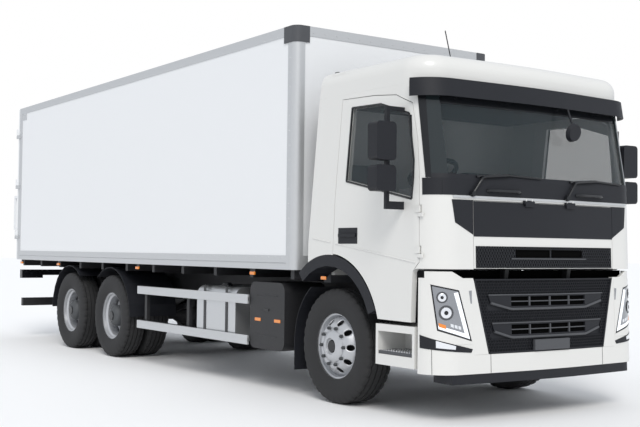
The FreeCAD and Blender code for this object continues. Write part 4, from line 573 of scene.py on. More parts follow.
# %% [markdown]
# The hub shows in the disc's middle: a short silver one in front, a long grey one at the
# driven and the tag axle, each with a dark cap. Ten wheel nuts with the bolts' ends stand
# round it. Turned shapes and studs are enough, because all of it is round or six-sided.


# %% Hubs, nuts and caps
def circle_places(count, radius, x):
    """Places evenly spread on a circle round the wheel's axis: y = r cos t, z = r sin t."""
    t = np.arange(count) * 2 * np.pi / count
    return np.stack([np.full(count, x), radius * np.cos(t), radius * np.sin(t)], -1)


front_hub = [
    (-1.165, 0.15), (-1.186, 0.148), (-1.200, 0.128), (-1.214, 0.098), (-1.214, 0.076),
    (-1.196, 0.070), (-1.194, 0.004), (-1.165, 0.004),
]
rear_hub = [
    (-0.955, 0.150), (-0.968, 0.146), (-1.05, 0.138), (-1.155, 0.132), (-1.180, 0.112),
    (-1.198, 0.085), (-1.2025, 0.004), (-0.955, 0.004),
]
front_kind = (front_hub, -1.182, wheel_silver)  # profile, where the nuts sit, finish
rear_kind = (rear_hub, -0.950, cast_grey)
outwards = (-1, 0, 0)
nut_circle, bolt_circle = 0.168, 0.108
for label, axle_y, _, _, _, body in wheel_rows:
    hub, seat, hub_finish = front_kind if label == "front" else rear_kind
    centre = np.array((0, axle_y, axle_z))
    hub_part = turned(hub, 48, centre)
    cap = studs(np.array((hub[-2][0] + 0.002, 0, 0)) + centre, outwards, 0.064, 0.012, 32, 0.8)
    nuts = studs(circle_places(10, nut_circle, seat + 0.006) + centre, outwards, 0.017, 0.026)
    tips = studs(circle_places(10, nut_circle, seat - 0.018) + centre, outwards, 0.009, 0.012, 10)
    bolt_places = circle_places(12, bolt_circle, hub[2][0] + 0.012) + centre
    bolts = studs(bolt_places, outwards, 0.008, 0.012)
    fixings = joined(nuts, tips, bolts)
    for side in ("right", "left"):
        rider = f"{body}_{side}"
        add(f"hub_{label}_{side}", on_side(hub_part, side), rider, hub_finish,
            sharp=40)
        add(f"cap_{label}_{side}", on_side(cap, side), rider, gloss_black, sharp=40)
        add(f"nuts_{label}_{side}", on_side(fixings, side), rider, cast_grey)
print("wheel nuts", len(nuts[0]) // 12, "and hub bolts", len(bolts[0]) // 12)

# %% [markdown]
# The cab's nose is one shallow bow seen from above, with round corners, and it leans back:
# a little below the belt line and more at the windscreen. Trims that lie on it are bent
# patches. Instead of cutting them from the skin, each is placed by s, the way along the
# bow from the middle, by its height z, and by its lift off the skin.

# %% The bow of the nose
bow_radius, bow_slope, half_width, corner_radius, side_end = 7.0, 0.0639, 1.245, 0.270, 1.85


def bow_line():
    """The bow seen from above: s, x, y and the normal's angle, from the middle to the side.

    It is an arc of radius 7, a straight of slope 0.0639, a corner arc of radius 0.27
    and the flat side. On an arc with centre c: point = c + r (sin a, -cos a).
    """
    slope = math.atan(bow_slope)
    a = np.linspace(0, slope, 12)
    across = bow_radius / math.cos(slope) - bow_radius * np.cos(a)
    bow = np.stack([bow_radius * np.sin(a), across, a], -1)
    reach = corner_radius * math.tan((math.pi / 2 - slope) / 2)
    a = np.linspace(slope, math.pi / 2, 24)
    centre = (half_width - corner_radius, half_width * math.tan(slope) + reach)
    x, y = centre[0] + corner_radius * np.sin(a), centre[1] - corner_radius * np.cos(a)
    side = [(half_width, side_end, math.pi / 2)]
    line = np.concatenate([bow, np.stack([x, y, a], -1), side])
    steps = np.hypot(*np.diff(line[:, :2], axis=0).T)
    return np.concatenate([[0], np.cumsum(steps)]), line[:, 0], line[:, 1], line[:, 2]


bow_s, bow_x, bow_y, bow_a = bow_line()
print("bow length to the side", round(float(bow_s[-2]), 3))

# %% [markdown]
# The skin is the bow swept up the leaning middle line. Any trim can ask it for a point, so
# none of them needs to know how the nose is shaped.


# %% The skin of the nose
def apex(z):
    """y of the nose's middle line: it leans 1.8 degrees below the belt and 10.4 above."""
    return np.interp(z, (0.3, 1.972, 2.718, 3.1), (-5.0433, -4.9908, -4.8539, -4.8539))


def skin(s, z, lift=0.0):
    """Point of the nose: x and y by s, moved back with height and outwards by the lift."""
    s, z, lift = np.broadcast_arrays(*[np.asarray(value, float) for value in (s, z, lift)])
    way, side = np.abs(s), np.where(s < 0, -1.0, 1.0)
    a = np.interp(way, bow_s, bow_a)
    x = side * (np.interp(way, bow_s, bow_x) + lift * np.sin(a))
    y = apex(z) + np.interp(way, bow_s, bow_y) - lift * np.cos(a)
    return np.stack([x, y, z], -1)


print("nose at the belt line, y", round(float(skin(0, 1.972)[1]), 3))

# %% [markdown]
# Most trims are slabs on the skin with four straight edges. Four corners and two shares
# are enough to place every point of one, and a frame round a lamp is made of four.


# %% Patches on the nose
def field(corners, low, high, columns=16, rows=8):
    """Bent patch between four corners (s, z), its place blended from them by two shares.

    place = (1 - v) ((1 - u) A + u B) + v ((1 - u) D + u C), for the corners A, B, C, D.
    """
    first, second, third, fourth = np.asarray(corners, float)
    u = np.linspace(0, 1, columns)[None, :, None]
    v = np.linspace(0, 1, rows)[:, None, None]
    place = (1 - v) * ((1 - u) * first + u * second) + v * ((1 - u) * fourth + u * third)
    s, z = place[..., 0], place[..., 1]
    return slab(skin(s, z, high), skin(s, z, low))


def patch(s_low, s_high, z_low, z_high, low, high, columns=24, rows=8):
    """A field between two heights; s_low and s_high may be pairs for its bottom and top."""
    s_low, s_high = np.broadcast_to(s_low, 2), np.broadcast_to(s_high, 2)
    corners = ((s_low[0], z_low), (s_high[0], z_low), (s_high[1], z_high), (s_low[1], z_high))
    return field(corners, low, high, columns, rows)


def hoop(outer, inner, low, high):
    """Frame between two outlines of four corners: one field a side."""
    sides = ((0, 1), (1, 2), (2, 3), (3, 0))
    return joined(*[field((outer[k], outer[n], inner[n], inner[k]), low, high, 14, 3)
                    for k, n in sides])


print("a patch has", len(patch(0, 1, 0, 1, 0, 1)[0]), "points")

# %% [markdown]
# The black grille is a sheet of moulded honeycomb. A picture would do from afar, but the
# mesh catches light, so every cell edge is a thin bar: three bars per cell, turned by
# 60 degrees, laid on the bow. Bars inside a window of the sheet are left out.

# %% Honeycomb
cell, row_step = 0.028, 0.866  # a cell's width, and the rise from row to row as a share of it


def honeycomb(s_half, z_low, z_high, lift, keep, depth=0.004, wall=0.0022):
    """Bars centred at middle + cell/2 (cos k, sin k), for k of 0, 60 and 120 degrees.

    Each lies square to its k and is cell / sqrt 3 long, so that its ends meet the next ones.
    """
    rows = int((z_high - z_low) / (cell * row_step)) + 2
    columns = int(2 * s_half / cell) + 2
    i, j = np.meshgrid(np.arange(rows), np.arange(columns), indexing="ij")
    middle_s = -s_half + (j + 0.5 * (i % 2)) * cell
    middle_z = z_low + i * cell * row_step
    angle = np.radians((0, 60, 120))
    s = (middle_s[..., None] + cell / 2 * np.cos(angle)).ravel()
    z = (middle_z[..., None] + cell / 2 * np.sin(angle)).ravel()
    turn = np.broadcast_to(angle, middle_s.shape + (3,)).ravel()
    inside = keep(s, z)
    s, z, turn = s[inside], z[inside], turn[inside]
    centre = skin(s, z, lift)
    step = 1e-4
    run = (skin(s + step, z, lift) - centre) / step
    rise = (skin(s, z + step, lift) - centre) / step
    out = (skin(s, z, lift + step) - centre) / step
    half_length = cell / math.sqrt(3) / 2
    first = (run * -np.sin(turn)[:, None] + rise * np.cos(turn)[:, None]) * half_length
    second = (run * np.cos(turn)[:, None] + rise * np.sin(turn)[:, None]) * wall
    return bars(centre, first, second, out * depth)


print("a row of cells is", round(cell * row_step, 4), "high")

# %% [markdown]
# The main grille belongs to the chassis and stays when the cab tilts. It has a dark back,
# a rim and the honeycomb, which leaves room for two louvres. The whole takes the place of
# the plain CAD grille.

# %% Main grille
grille_low, grille_high = 0.556, 1.160
foot_half, top_half = 0.70, 0.845
louvres = ((0.912, 1.030, 0.695), (0.680, 0.800, 0.660))  # foot, top and half width of each
rim_lift = (-0.030, -0.009)


def in_grille(s, z):
    """Inside the grille's slanted edge and outside both louvres."""
    edge = foot_half + (z - grille_low) / (grille_high - grille_low) * (top_half - foot_half)
    keep = (np.abs(s) < edge - 0.012) & (z > grille_low + 0.01) & (z < grille_high - 0.01)
    for low, high, half in louvres:
        keep &= ~((np.abs(s) < half) & (z > low - 0.01) & (z < high + 0.01))
    return keep


back = patch(-0.848, 0.848, grille_low - 0.003, grille_high, -0.055, -0.030, 40, 6)
edge = joined(
    patch((-foot_half, -top_half), (-0.685, -0.83), grille_low, grille_high, *rim_lift, 3, 10),
    patch((0.685, 0.83), (foot_half, top_half), grille_low, grille_high, *rim_lift, 3, 10),
    patch(-top_half, top_half, grille_high - 0.012, grille_high, *rim_lift, 40, 2),
    patch(-foot_half, foot_half, grille_low, grille_low + 0.012, *rim_lift, 40, 2),
)
comb = honeycomb(0.86, grille_low, grille_high, -0.017, in_grille)
grille_back = add("grille_back", joined(back, edge), "chassis", anthracite)
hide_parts("main_grille")
add("grille_honeycomb", comb, "chassis", anthracite)
print("honeycomb bars", len(comb[1]) // 6)

# %% [markdown]
# A louvre is a plate with six corners: its foot is narrower than its top, and a thick lip
# follows that edge. Only its middle is open, with a slat and five stays over the gap, whose
# darkness is a near-black patch of painted shade.
# The lips are bars bent along the bow, so the corner places serve plate and lips alike.


# %% Louvres
def along_skin(places, lift, steps=60):
    """Points on the skin along a broken line of (s, z) places, evenly spread by s."""
    places = np.asarray(places, float)
    s = np.linspace(places[0, 0], places[-1, 0], steps)
    return skin(s, np.interp(s, places[:, 0], places[:, 1]), lift)


knee, opening = 0.45, 0.47
foot_height, head_height, wing_rise, step_in = 0.024, 0.016, 0.052, 0.025
plate_lift, gap_shade_lift, slat_half, stay_half = (-0.030, -0.010), (-0.0300, -0.0285), 0.004, 0.006
for number, (low, high, half) in enumerate(louvres):
    elbow = (half - step_in, low + wing_rise)
    wing = field(((knee, low), elbow, (half, high), (knee, high)), *plate_lift, 8, 4)
    foot = patch(-knee, knee, low, low + foot_height, *plate_lift, 24, 2)
    head = patch(-knee, knee, high - head_height, high, *plate_lift, 24, 2)
    plate = add(f"louvre_plate_{number}", joined(both(wing), foot, head), "chassis", anthracite)
    soften(plate, 0.003)
    lower_lip = [(-elbow[0], elbow[1]), (-knee, low), (knee, low), elbow]
    lips = joined(tube(along_skin(lower_lip, -0.010), 0.011),
                  tube(along_skin([(-half, high), (half, high)], -0.009), 0.006))
    add(f"louvre_lips_{number}", lips, "chassis", frame_grey)
    gap_low, gap_high = low + foot_height, high - head_height
    # The patch behind the opening is painted shade: near black, without reflection.
    gap = patch(-opening, opening, gap_low, gap_high, *gap_shade_lift, 24, 2)
    add(f"louvre_gap_shade_{number}", gap, "chassis", shade_black)
    slat_z = (low + high) / 2 + slat_half
    slat = patch(-opening, opening, slat_z - slat_half, slat_z + slat_half, -0.028, -0.012, 24, 2)
    stays = [patch(s - stay_half, s + stay_half, low + 0.01, high - 0.01, -0.028, -0.013, 2, 2)
             for s in (-0.46, -0.24, 0.0, 0.24, 0.46)]
    add(f"louvre_slats_{number}", joined(slat, *stays), "chassis", frame_grey)
print("louvre width", round(plate.dimensions.x, 3))

# %% [markdown]
# The number plate is a blank block at the grille's foot, with softened edges. It carries
# no number: a plain face needs neither text nor a picture.

# %% Front plate
front_plate = block((-0.21, -5.030, 0.565), (0.21, -5.000, 0.655))
plate = soften(add("front_plate", front_plate, "chassis", frame_grey), 0.004)
print("plate width", round(plate.dimensions.x, 3))

# %% [markdown]
# Between the bumper and the cab a narrow gap stays, dark with the shade that falls into it.
# The bumper's shoulders close it at the corners, and a black sheet of painted shade stands
# behind the rest, back enough to let the tilting cab pass.

# %% Gap below the cab
shoulder_top = 1.221
flank = field(((0.702, 0.553), (0.866, 0.553), (0.866, 1.158), (0.848, 1.158)),
              -0.030, -0.0085, 8, 10)
add("grille_flanks", both(flank), "chassis", cab_white)
shoulders = field(((0.93, 1.156), (1.30, 1.156), (1.30, shoulder_top), (1.06, shoulder_top)),
                  -0.040, -0.0085, 20, 4)
soften(add("bumper_shoulders", both(shoulders), "chassis", cab_white), 0.004)
# This black sheet is painted shade, standing where the gap's shadow falls.
sheet = block((-1.14, -4.800, 1.060), (1.14, -4.792, 1.2255))
add("gap_shade_sheet", sheet, "chassis", shade_black)
panel_foot = min(corner[2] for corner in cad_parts["cab_front_panel"].bound_box)
print("gap below the cab", round(panel_foot - shoulder_top, 4))

# %% [markdown]
# The tilting front lid carries a dark panel. The cab goes on with the same panel on both
# sides of the lid, with a narrow joint between them. They are thin slabs on the nose.

# %% Lid and wing panels
lid_half, wing_start, panel_lift = 0.8453, 0.8502, (-0.016, 0.003)
lid_panel = patch(-lid_half, lid_half, 1.505, 1.793, *panel_lift, 40, 6)
wing = ((wing_start, 1.518), (1.033, 1.615), (1.060, 1.800), (wing_start, 1.800))
wing_panel = field(wing, *panel_lift, 8, 6)
add("lid_panel", lid_panel, "front_lid", anthracite)
add("wing_panels", both(wing_panel), "cab", anthracite)
print("joint beside the lid", round(wing_start - lid_half, 4))

# %% [markdown]
# The small upper grille is part of the lid. Its honeycomb is finer in depth, and two slots
# with a raised frame stand over a thin lip. The slots are near black without reflection,
# painted shade of the openings, and their frames take the same black.

# %% Upper grille
slots, slot_low, slot_high = ((-0.40, -0.015), (0.015, 0.40)), 1.338, 1.402
frame_width, frame_lift = 0.008, 0.009


def in_upper(s, z):
    """The upper grille's field without its two slots."""
    keep = (np.abs(s) < 0.815) & (z > 1.258) & (z < 1.420)
    return keep & ~((np.abs(s) < 0.41) & (z > 1.335) & (z < 1.405))


upper_back = patch(-0.828, 0.828, 1.250, 1.428, 0.0, 0.002, 40, 3)
upper_comb = honeycomb(0.82, 1.250, 1.428, 0.005, in_upper, depth=0.003)
add("upper_grille_back", upper_back, "front_lid", gloss_black)
add("upper_honeycomb", upper_comb, "front_lid", anthracite)
# The slots are painted shade: near black without reflection; their frames take the same black.
slot_shade_and_frames = []
for start, stop in slots:
    slot_shade_and_frames.append(patch(start, stop, slot_low, slot_high, 0.0, 0.0035, 12, 2))
    for low in (slot_low, slot_high - frame_width):
        slot_shade_and_frames.append(patch(start, stop, low, low + frame_width, 0.0, frame_lift, 12, 2))
    for end in (start, stop - frame_width):
        slot_shade_and_frames.append(
            patch(end, end + frame_width, slot_low, slot_high, 0.0, frame_lift, 2, 2))
add("upper_slot_shade_and_frames", joined(*slot_shade_and_frames), "front_lid", shade_black)
upper_lip = patch(-0.455, 0.455, 1.322, 1.332, 0.0, 0.011, 24, 2)
add("upper_lip", upper_lip, "front_lid", frame_grey)
print("upper honeycomb bars", len(upper_comb[1]) // 6)

# %% [markdown]
# A dark blank band runs round the nose below the windscreen and ends on the cab's side,
# with a bright strip under it. Both belong to the cab. The band's upper part lies in the
# rebate below the glass.

# %% Belt band and bright strip
band_back = 0.235  # how far behind the bow's front the band ends
belt_low, belt_high, rebate_top, rebate = 1.836, 1.972, 2.008, -0.0135
band_end = float(np.interp(band_back, bow_y, bow_s))
belt = joined(patch(-band_end, band_end, belt_low, belt_high, 0.0, 0.004, 72, 3),
              patch(-1.225, 1.225, belt_high, rebate_top, rebate, 0.004, 60, 3))
add("belt_band", belt, "cab", anthracite)
strip = patch(-1.05, 1.05, 1.8152, 1.8325, -0.001, 0.013, 60, 3)
add("bright_strip", strip, "cab", extrusion)
seam = patch(1.135, 1.139, 1.838, 1.954, 0.002, 0.0045, 2, 2)
add("band_seams", both(seam), "cab", gloss_black)
print("band reaches s", round(band_end, 3))

# %% [markdown]
# The glass is printed black along its sides, which hides the glue and the pillars behind
# it, so from outside the windscreen seems to reach round the corners. The black band across
# the top of the glass is painted shade, the shadow of the sun visor.

# %% Windscreen surround
# The band across the top of the glass is painted shade of the sun visor.
visor_shade_band = patch(-1.09, 1.09, 2.585, 2.655, -0.0138, -0.0130, 40, 3)
add("visor_shade_band", visor_shade_band, "cab", gloss_black)
pillar = field(((1.083, 2.000), (1.225, 2.000), (1.192, 2.690), (1.083, 2.690)),
               rebate, 0.002, 12, 8)
add("pillar_glass", both(pillar), "cab", pillar_glass)
border = field(((1.222, 1.975), (1.270, 1.975), (1.256, 2.700), (1.188, 2.700)),
               -0.002, 0.004, 8, 8)
add("pillar_borders", both(border), "cab", gloss_black)
print("pillar points", len(pillar[0]))

# %% [markdown]
# The lid hangs on two hinges below the bright strip. Each has a small cover on the panel
# and a round sleeve over the pin. They stay small, so that they clear the strip when the
# lid swings up.

# %% Lid hinge covers
hinge_x, pin_z = (-0.25, 0.25), 1.7975
hinge_parts = [block((x - 0.05, -4.9995, 1.762), (x + 0.05, -4.9880, pin_z)) for x in hinge_x]
hinge_parts += [studs((x - 0.06, -4.983, pin_z), (1, 0, 0), 0.0152, 0.12, 20) for x in hinge_x]
hinge_caps = add("hinge_caps", joined(*hinge_parts), "front_lid", anthracite)
print("hinges span", round(hinge_caps.dimensions.x, 3))

# %% [markdown]
# A wiper is an arm on a round pivot and a blade with its rubber on the glass. Both are
# bars carried along a path on the skin, so they follow the windscreen's bow.

# %% Wipers
wiper_parts, pivot_z = [], 1.850
for pivot in (-0.863, 0.210):
    arm_places = [(pivot, pivot_z), (pivot + 0.11, 1.990), (pivot + 0.40, 2.016)]
    blade_places = [(pivot + 0.05, 1.992), (pivot + 0.36, 2.016), (pivot + 0.76, 2.004)]
    wiper_parts.append(tube(along_skin(arm_places, 0.024, 24), 0.012))
    wiper_parts.append(tube(along_skin(blade_places, 0.010, 24), 0.011))
    wiper_parts.append(studs(skin(pivot, pivot_z), (0, -1, 0), 0.028, 0.036, 14, 0.8))
wipers = add("wipers", joined(*wiper_parts), "cab", gloss_black)
print("wipers span", round(wipers.dimensions.x, 3))

# %% [markdown]
# Two grab handles on the belt band help whoever cleans the windscreen. A handle rises
# quickly, runs level and comes down again, which an eighth power gives.


# %% Grab handles
def handle(start, stop, height, reach=0.034):
    """A bow-shaped grab handle: lift = reach x (1 - (2u - 1)^8) along u from 0 to 1."""
    u = np.linspace(0, 1, 21)
    lift = 0.002 + reach * (1 - (2 * u - 1) ** 8)
    return tube(skin(start + (stop - start) * u, height, lift), 0.015)


handles = joined(handle(-0.70, -0.34, 1.880), handle(0.34, 0.70, 1.880))
handles = add("grab_handles", handles, "cab", gloss_black)
print("handles span", round(handles.dimensions.x, 3))

# %% [markdown]
# A round mirror hangs from the visor's edge and shows the driver the ground before the
# bumper. A straight arm and a shallow dish do for it.

# %% Front mirror
arm_top, arm_foot = np.array((0.30, -4.905, 2.665)), np.array((0.30, -4.985, 2.455))
share = np.linspace(0, 1, 8)[:, None]
front_mirror = joined(
    tube(arm_top * (1 - share) + arm_foot * share, 0.009),
    studs((0.30, -4.972, 2.43), (0, -1, -0.25), 0.085, 0.035, 24, 0.82),
)
add("front_mirror", front_mirror, "cab", anthracite, sharp=50)
print("mirror arm", round(float(np.linalg.norm(arm_foot - arm_top)), 3))

# %% [markdown]
# A headlamp is a slanted wedge with an L-shaped strip of daylight LEDs along its inner
# edge and foot. The CAD lamp is a plain four-sided cover, so a thin painted surround gives
# the bumper's opening its slant. All parts are fields on the skin, each a little higher
# than the one below it.

# %% Headlamps
wedge = ((0.876, 0.662), (1.195, 0.752), (1.245, 1.118), (1.000, 1.072))
inside = ((0.892, 0.678), (1.184, 0.762), (1.232, 1.104), (1.006, 1.062))
around = ((0.867, 0.640), (1.332, 0.640), (1.332, 1.150), (0.867, 1.150))
lamp_bed = -0.012  # the lift of the lowest parts
surround, lamp_edge = hoop(around, wedge, lamp_bed, -0.0055), hoop(wedge, inside, lamp_bed, -0.0048)
add("lamp_surrounds", both(surround), "chassis", cab_white)
add("lamp_edges", both(lamp_edge), "chassis", gloss_black)
add("lamp_faces", both(field(inside, lamp_bed, -0.0068)), "chassis", lamp_dark)
rising = ((0.896, 0.682), (0.948, 0.728), (1.050, 1.050), (1.012, 1.056))
lying = ((0.896, 0.682), (1.182, 0.766), (1.184, 0.792), (0.948, 0.728))
strip = joined(field(rising, -0.008, -0.0052, 4, 12), field(lying, -0.008, -0.0052, 16, 3))
add("daylight_strips", both(strip), "chassis", lamp_white)
print("lamp height", round(wedge[2][1] - wedge[0][1], 3))

# %% [markdown]
# Behind the clear cover sit two round reflectors. A bright shallow cone in a dark ring,
# with a dark eye in its middle, reads as a deep reflector, and it needs no room behind.


# %% Reflectors
def on_skin(s, z, lift):
    """A place on the skin and the direction out of it."""
    return skin(s, z, lift), skin(s, z, 1.0) - skin(s, z, 0.0)


bezels, reflectors, eyes = [], [], []
for s, z, radius in ((1.150, 1.015, 0.046), (1.118, 0.893, 0.060)):
    spot, out = on_skin(s, z, -0.0075)
    bezels.append(studs(spot, out, radius, 0.0035, 32, 0.97))
    reflectors.append(studs(spot, out, radius * 0.84, 0.006, 32, 0.75))
    eyes.append(studs(spot, out, radius * 0.34, 0.0085, 24, 0.8))
add("lamp_bezels", both(joined(*bezels)), "chassis", frame_grey)
add("round_lamps", both(joined(*reflectors)), "chassis", lamp_clear, sharp=50)
add("lamp_eyes", both(joined(*eyes)), "chassis", gloss_black, sharp=50)
print("reflectors", 2 * len(bezels))

# %% [markdown]
# In the wedge's foot lie the amber turn lamp and a row of three small clear lamps, and a
# slim upright lamp stands beside it. They are fields again, small enough to need few points.

# %% Small lamps of the headlamp
turn_lamp = field(((1.120, 0.765), (1.178, 0.782), (1.182, 0.812), (1.122, 0.795)),
                  -0.008, -0.0045, 6, 3)
add("turn_lamps", both(turn_lamp), "chassis", lamp_amber)
outline = np.array([(0, 0), (0.026, 0.007), (0.028, 0.033), (0.002, 0.026)])
row = [field(outline + place, -0.008, -0.0045, 3, 3)
       for place in ((0.985, 0.757), (1.020, 0.766), (1.055, 0.775))]
add("lamp_rows", both(joined(*row)), "chassis", lamp_clear)
upright = field(((0.872, 0.965), (0.884, 0.965), (0.900, 1.066), (0.872, 1.070)),
                -0.009, -0.0035, 3, 3)
add("upright_lamps", both(upright), "chassis", lamp_dark)
print("small lamps in each row", len(row))

# %% [markdown]
# Below the headlamp a black band runs from the wheel side towards the grille and ends in
# a point. The fog lamp sits in its wide part.

# %% Fog lamps and bumper seams
band = ((0.885, 0.572), (1.350, 0.609), (1.350, 0.713), (0.868, 0.600))
add("fog_inserts", both(field(band, lamp_bed, -0.0038, 24, 4)), "chassis", anthracite)
fog = field(((1.042, 0.602), (1.205, 0.615), (1.205, 0.672), (1.038, 0.630)),
            -0.006, -0.0022, 10, 3)
soften(add("fog_lamps", both(fog), "chassis", lamp_clear), 0.001)
seams = [patch(s, s + 0.004, 0.402, top, -0.009, -0.007, 2, 4)
         for s, top in ((0.678, 0.556), (1.240, 0.600))]
add("bumper_seams", both(joined(*seams)), "chassis", gloss_black)
print("fog band", band[0][0], "to", band[1][0])

# %% [markdown]
# Seen through the windscreen the cab is dark. The CAD walls are bare inside, so a lining of
# dark cloth covers the back wall and the roof. Its near black is partly the cloth's own
# colour and partly painted shade of the cab's inside.

# %% Cab lining
# The lining's near black is partly its own colour and partly painted shade of the cab's inside.
back_lining = block((-1.12, -3.226, 1.28), (1.12, -3.217, 2.69))
roof_lining = block((-1.12, -4.70, 2.690), (1.12, -3.24, 2.698))
lining_and_shade = add("cab_lining_and_shade", joined(back_lining, roof_lining), "cab", seat_cloth)
print("lining width", round(lining_and_shade.dimensions.x, 3))

# %% [markdown]
# A crease in the sheet metal climbs along the cab's side. A thin painted bar along it
# catches the light as the fold does. It is in two parts, for door and shell, so that the
# door can open.


# %% Creases of the cab sides
def crease(places):
    """A bar along the side: z rises with y through three known heights."""
    z = np.interp(places, (-4.735, -3.578, -3.190), (1.285, 1.446, 1.499))
    return tube(np.column_stack([np.full(len(places), -1.246), places, z]), 0.006)


door_crease, shell_crease = crease((-4.70, -4.4, -4.0, -3.60)), crease((-3.52, -3.40, -3.24))
for side in ("right", "left"):
    add(f"door_crease_{side}", on_side(door_crease, side), f"cab_door_{side}", cab_white)
    add(f"shell_crease_{side}", on_side(shell_crease, side), "cab", cab_white)
print("crease rises", round(float(np.ptp(door_crease[0][:, 2])), 3), "on the door")

# %% [markdown]
# The doors carry a dark seal round the window, the handle in its recess, and the two
# glasses of each mirror. Small lamps sit over the wheel arches. Blocks with softened edges
# do for parts this small; the seal is one bar for each side of the window.

# %% Doors, mirrors and arch lamps
door_handle = joined(
    block((-1.2485, -3.920, 1.440), (-1.244, -3.640, 1.580)),
    block((-1.2630, -3.905, 1.500), (-1.248, -3.655, 1.530)),
)
mirror_glass = joined(*[block((-1.578, -4.5195, low), (-1.422, -4.5165, high))
                        for low, high in ((2.135, 2.395), (1.885, 2.045))])
side_lamp = block((-1.252, -3.46, 1.115), (-1.243, -3.38, 1.145))
window = [(-3.752, 1.990), (-3.830, 2.631), (-4.233, 2.622), (-4.602, 2.509), (-4.668, 2.122),
          (-4.668, 1.970), (-4.648, 1.806)]
corners = np.array([(-1.2425, y, z) for y, z in window + window[:1]])
seal = joined(*[tube([start, stop], 0.0105) for start, stop in zip(corners[:-1], corners[1:])])
for side in ("right", "left"):
    door = f"cab_door_{side}"
    add(f"window_seal_{side}", on_side(seal, side), door, gloss_black, sharp=50)
    soften(add(f"door_handle_{side}", on_side(door_handle, side), door, anthracite), 0.004)
    add(f"mirror_glass_{side}", on_side(mirror_glass, side), door, mirror_face)
    soften(add(f"arch_lamp_{side}", on_side(side_lamp, side), "cab", lamp_amber), 0.003)
print("bars in a window seal", len(window))

# %% [markdown]
# On the roof stand an aerial on its foot and two small blocks. They show against the sky,
# so they are not left out, and a tube, a stud and two blocks are enough for them.

# %% Roof fittings
aerial_foot, aerial_top = np.array((-0.37, -4.17, 3.0)), np.array((-0.56, -4.27, 3.33))
share = np.linspace(0, 1, 6)[:, None]
roof_bits = joined(
    tube(aerial_foot * (1 - share) + aerial_top * share, 0.005),
    studs((-0.37, -4.17, 3.003), (0, 0, 1), 0.028, 0.030, 16, 0.5),
    block((-1.075, -3.375, 3.000), (-1.005, -3.325, 3.030)),
    block((0.215, -4.26, 3.000), (0.285, -4.20, 3.028)),
)
add("roof_fittings", roof_bits, "cab", gloss_black)
print("aerial length", round(float(np.linalg.norm(aerial_top - aerial_foot)), 3))

# %% [markdown]
# The load box is built from riveted panels between aluminium extrusions. The rivets are
# one mesh of small studs: an array of places, and the same stud copied to all of them.

# %% Rivets
side_x, front_face = -1.250, -2.9235


def row_of(along, x, y, z):
    """Places of a row: one of x, y and z is the array along, the others stay the same."""
    return np.column_stack([np.broadcast_to(value, along.shape) for value in (x, y, z)])


run, posts = np.arange(-2.72, 4.66, 0.12), np.arange(1.40, 3.40, 0.14)
rows = [row_of(run, side_x, run, z) for z in (1.310, 3.452)] + [row_of(posts, side_x, -2.83, posts)]
rivets = studs(np.concatenate(rows), (-1, 0, 0), 0.006, 0.0035, 8, 0.6)
add("side_rivets", both(rivets), "chassis", extrusion)
front_run = np.arange(-1.05, 1.06, 0.14)
front_rows = np.concatenate([row_of(front_run, front_run, front_face, z) for z in (1.300, 3.470)])
front_rivets = studs(front_rows, (0, -1, 0), 0.006, 0.0035, 8, 0.6)
add("front_rivets", front_rivets, "chassis", extrusion)
print("rivets", 2 * sum(len(row) for row in rows) + len(front_rows))

# %% [markdown]
# The box's front top corners wear dark cast caps. A cap is the corner post's own outline,
# moved out by a lift: its flat parts move straight out, its quarter circle grows.

# %% Corner caps
turn_angle = np.linspace(0, np.pi / 2, 10)
post_radius = 0.074
cap_out = np.concatenate([[(0, -1)], -np.column_stack([np.sin(turn_angle), np.cos(turn_angle)]),
                          [(-1, 0)]])
cap_line = np.concatenate([[(-1.090, front_face)], (-1.176, -2.8495) + post_radius * cap_out[1:-1],
                           [(side_x, -2.7235)]])


def cap_grid(lift):
    """The post's outline moved out by a lift, at two heights: place = line + lift x out."""
    line = cap_line + cap_out * lift
    return np.stack([np.column_stack([line, np.full(len(line), z)]) for z in (3.370, 3.5298)])


corner_caps = both(slab(cap_grid(0.005), cap_grid(0.0005)))
add("corner_caps", corner_caps, "chassis", frame_grey)
print("corner caps", len(corner_caps[0]), "points")

# %% [markdown]
# Amber lamps hang below the floor rail on small holders, and a bare plate sits high at the
# rear end of each side. They are blocks; only the lamps have soft edges.

# %% Side markers
lamps, holders = [], []
for y in (4.644, 3.118, 0.512, -2.174):
    lamps.append(block((-1.251, y - 0.045, 1.128), (-1.232, y + 0.045, 1.160)))
    holders.append(block((-1.234, y - 0.035, 1.132), (-1.228, y + 0.035, 1.196)))
soften(add("side_markers", both(joined(*lamps)), "chassis", lamp_amber), 0.004)
add("marker_holders", both(joined(*holders)), "chassis", chassis_black)
side_plate = block((-1.2495, 4.545, 3.335), (-1.2435, 4.700, 3.425))
add("rear_side_plates", both(side_plate), "chassis", extrusion)
print("side markers", 2 * len(lamps))

# %% [markdown]
# Bright rails run between the wheels and keep people from falling under the truck. On the
# right they pass in front of the tank, on pads; the CAD guards behind it end at the tank.

# %% Side rails
rail_feet, rail_end = (0.830, 0.420), 0.498
right_start, left_start = -2.085, -1.765
rails = []
for z in rail_feet:
    rails.append(block((-1.2450, right_start, z + 0.003), (-1.2200, rail_end, z + 0.097)))
    rails.append(block((-1.2380, right_start, z + 0.030), (-1.2215, rail_end, z + 0.070)))
pads = [block((-1.2210, y, z + 0.02), (-1.2145, y + 0.06, z + 0.08))
        for y in (-0.745, 0.336) for z in rail_feet]
rails_right = add("rails_right", joined(*rails, *pads), "chassis", extrusion)
soften(rails_right, 0.003)
left_rails = [block((1.2200, left_start, z + 0.003), (1.2450, rail_end, z + 0.097))
              for z in rail_feet]
left_rails = joined(*left_rails, flipped(joined(*pads)))
soften(add("rails_left", left_rails, "chassis", extrusion), 0.003)
print("rail length", round(rails_right.dimensions.y, 3))

# %% [markdown]
# The tank hangs in two dark straps, each a block at its side, top and foot, and has a
# round cap: a wide low stud with a smaller one on it.

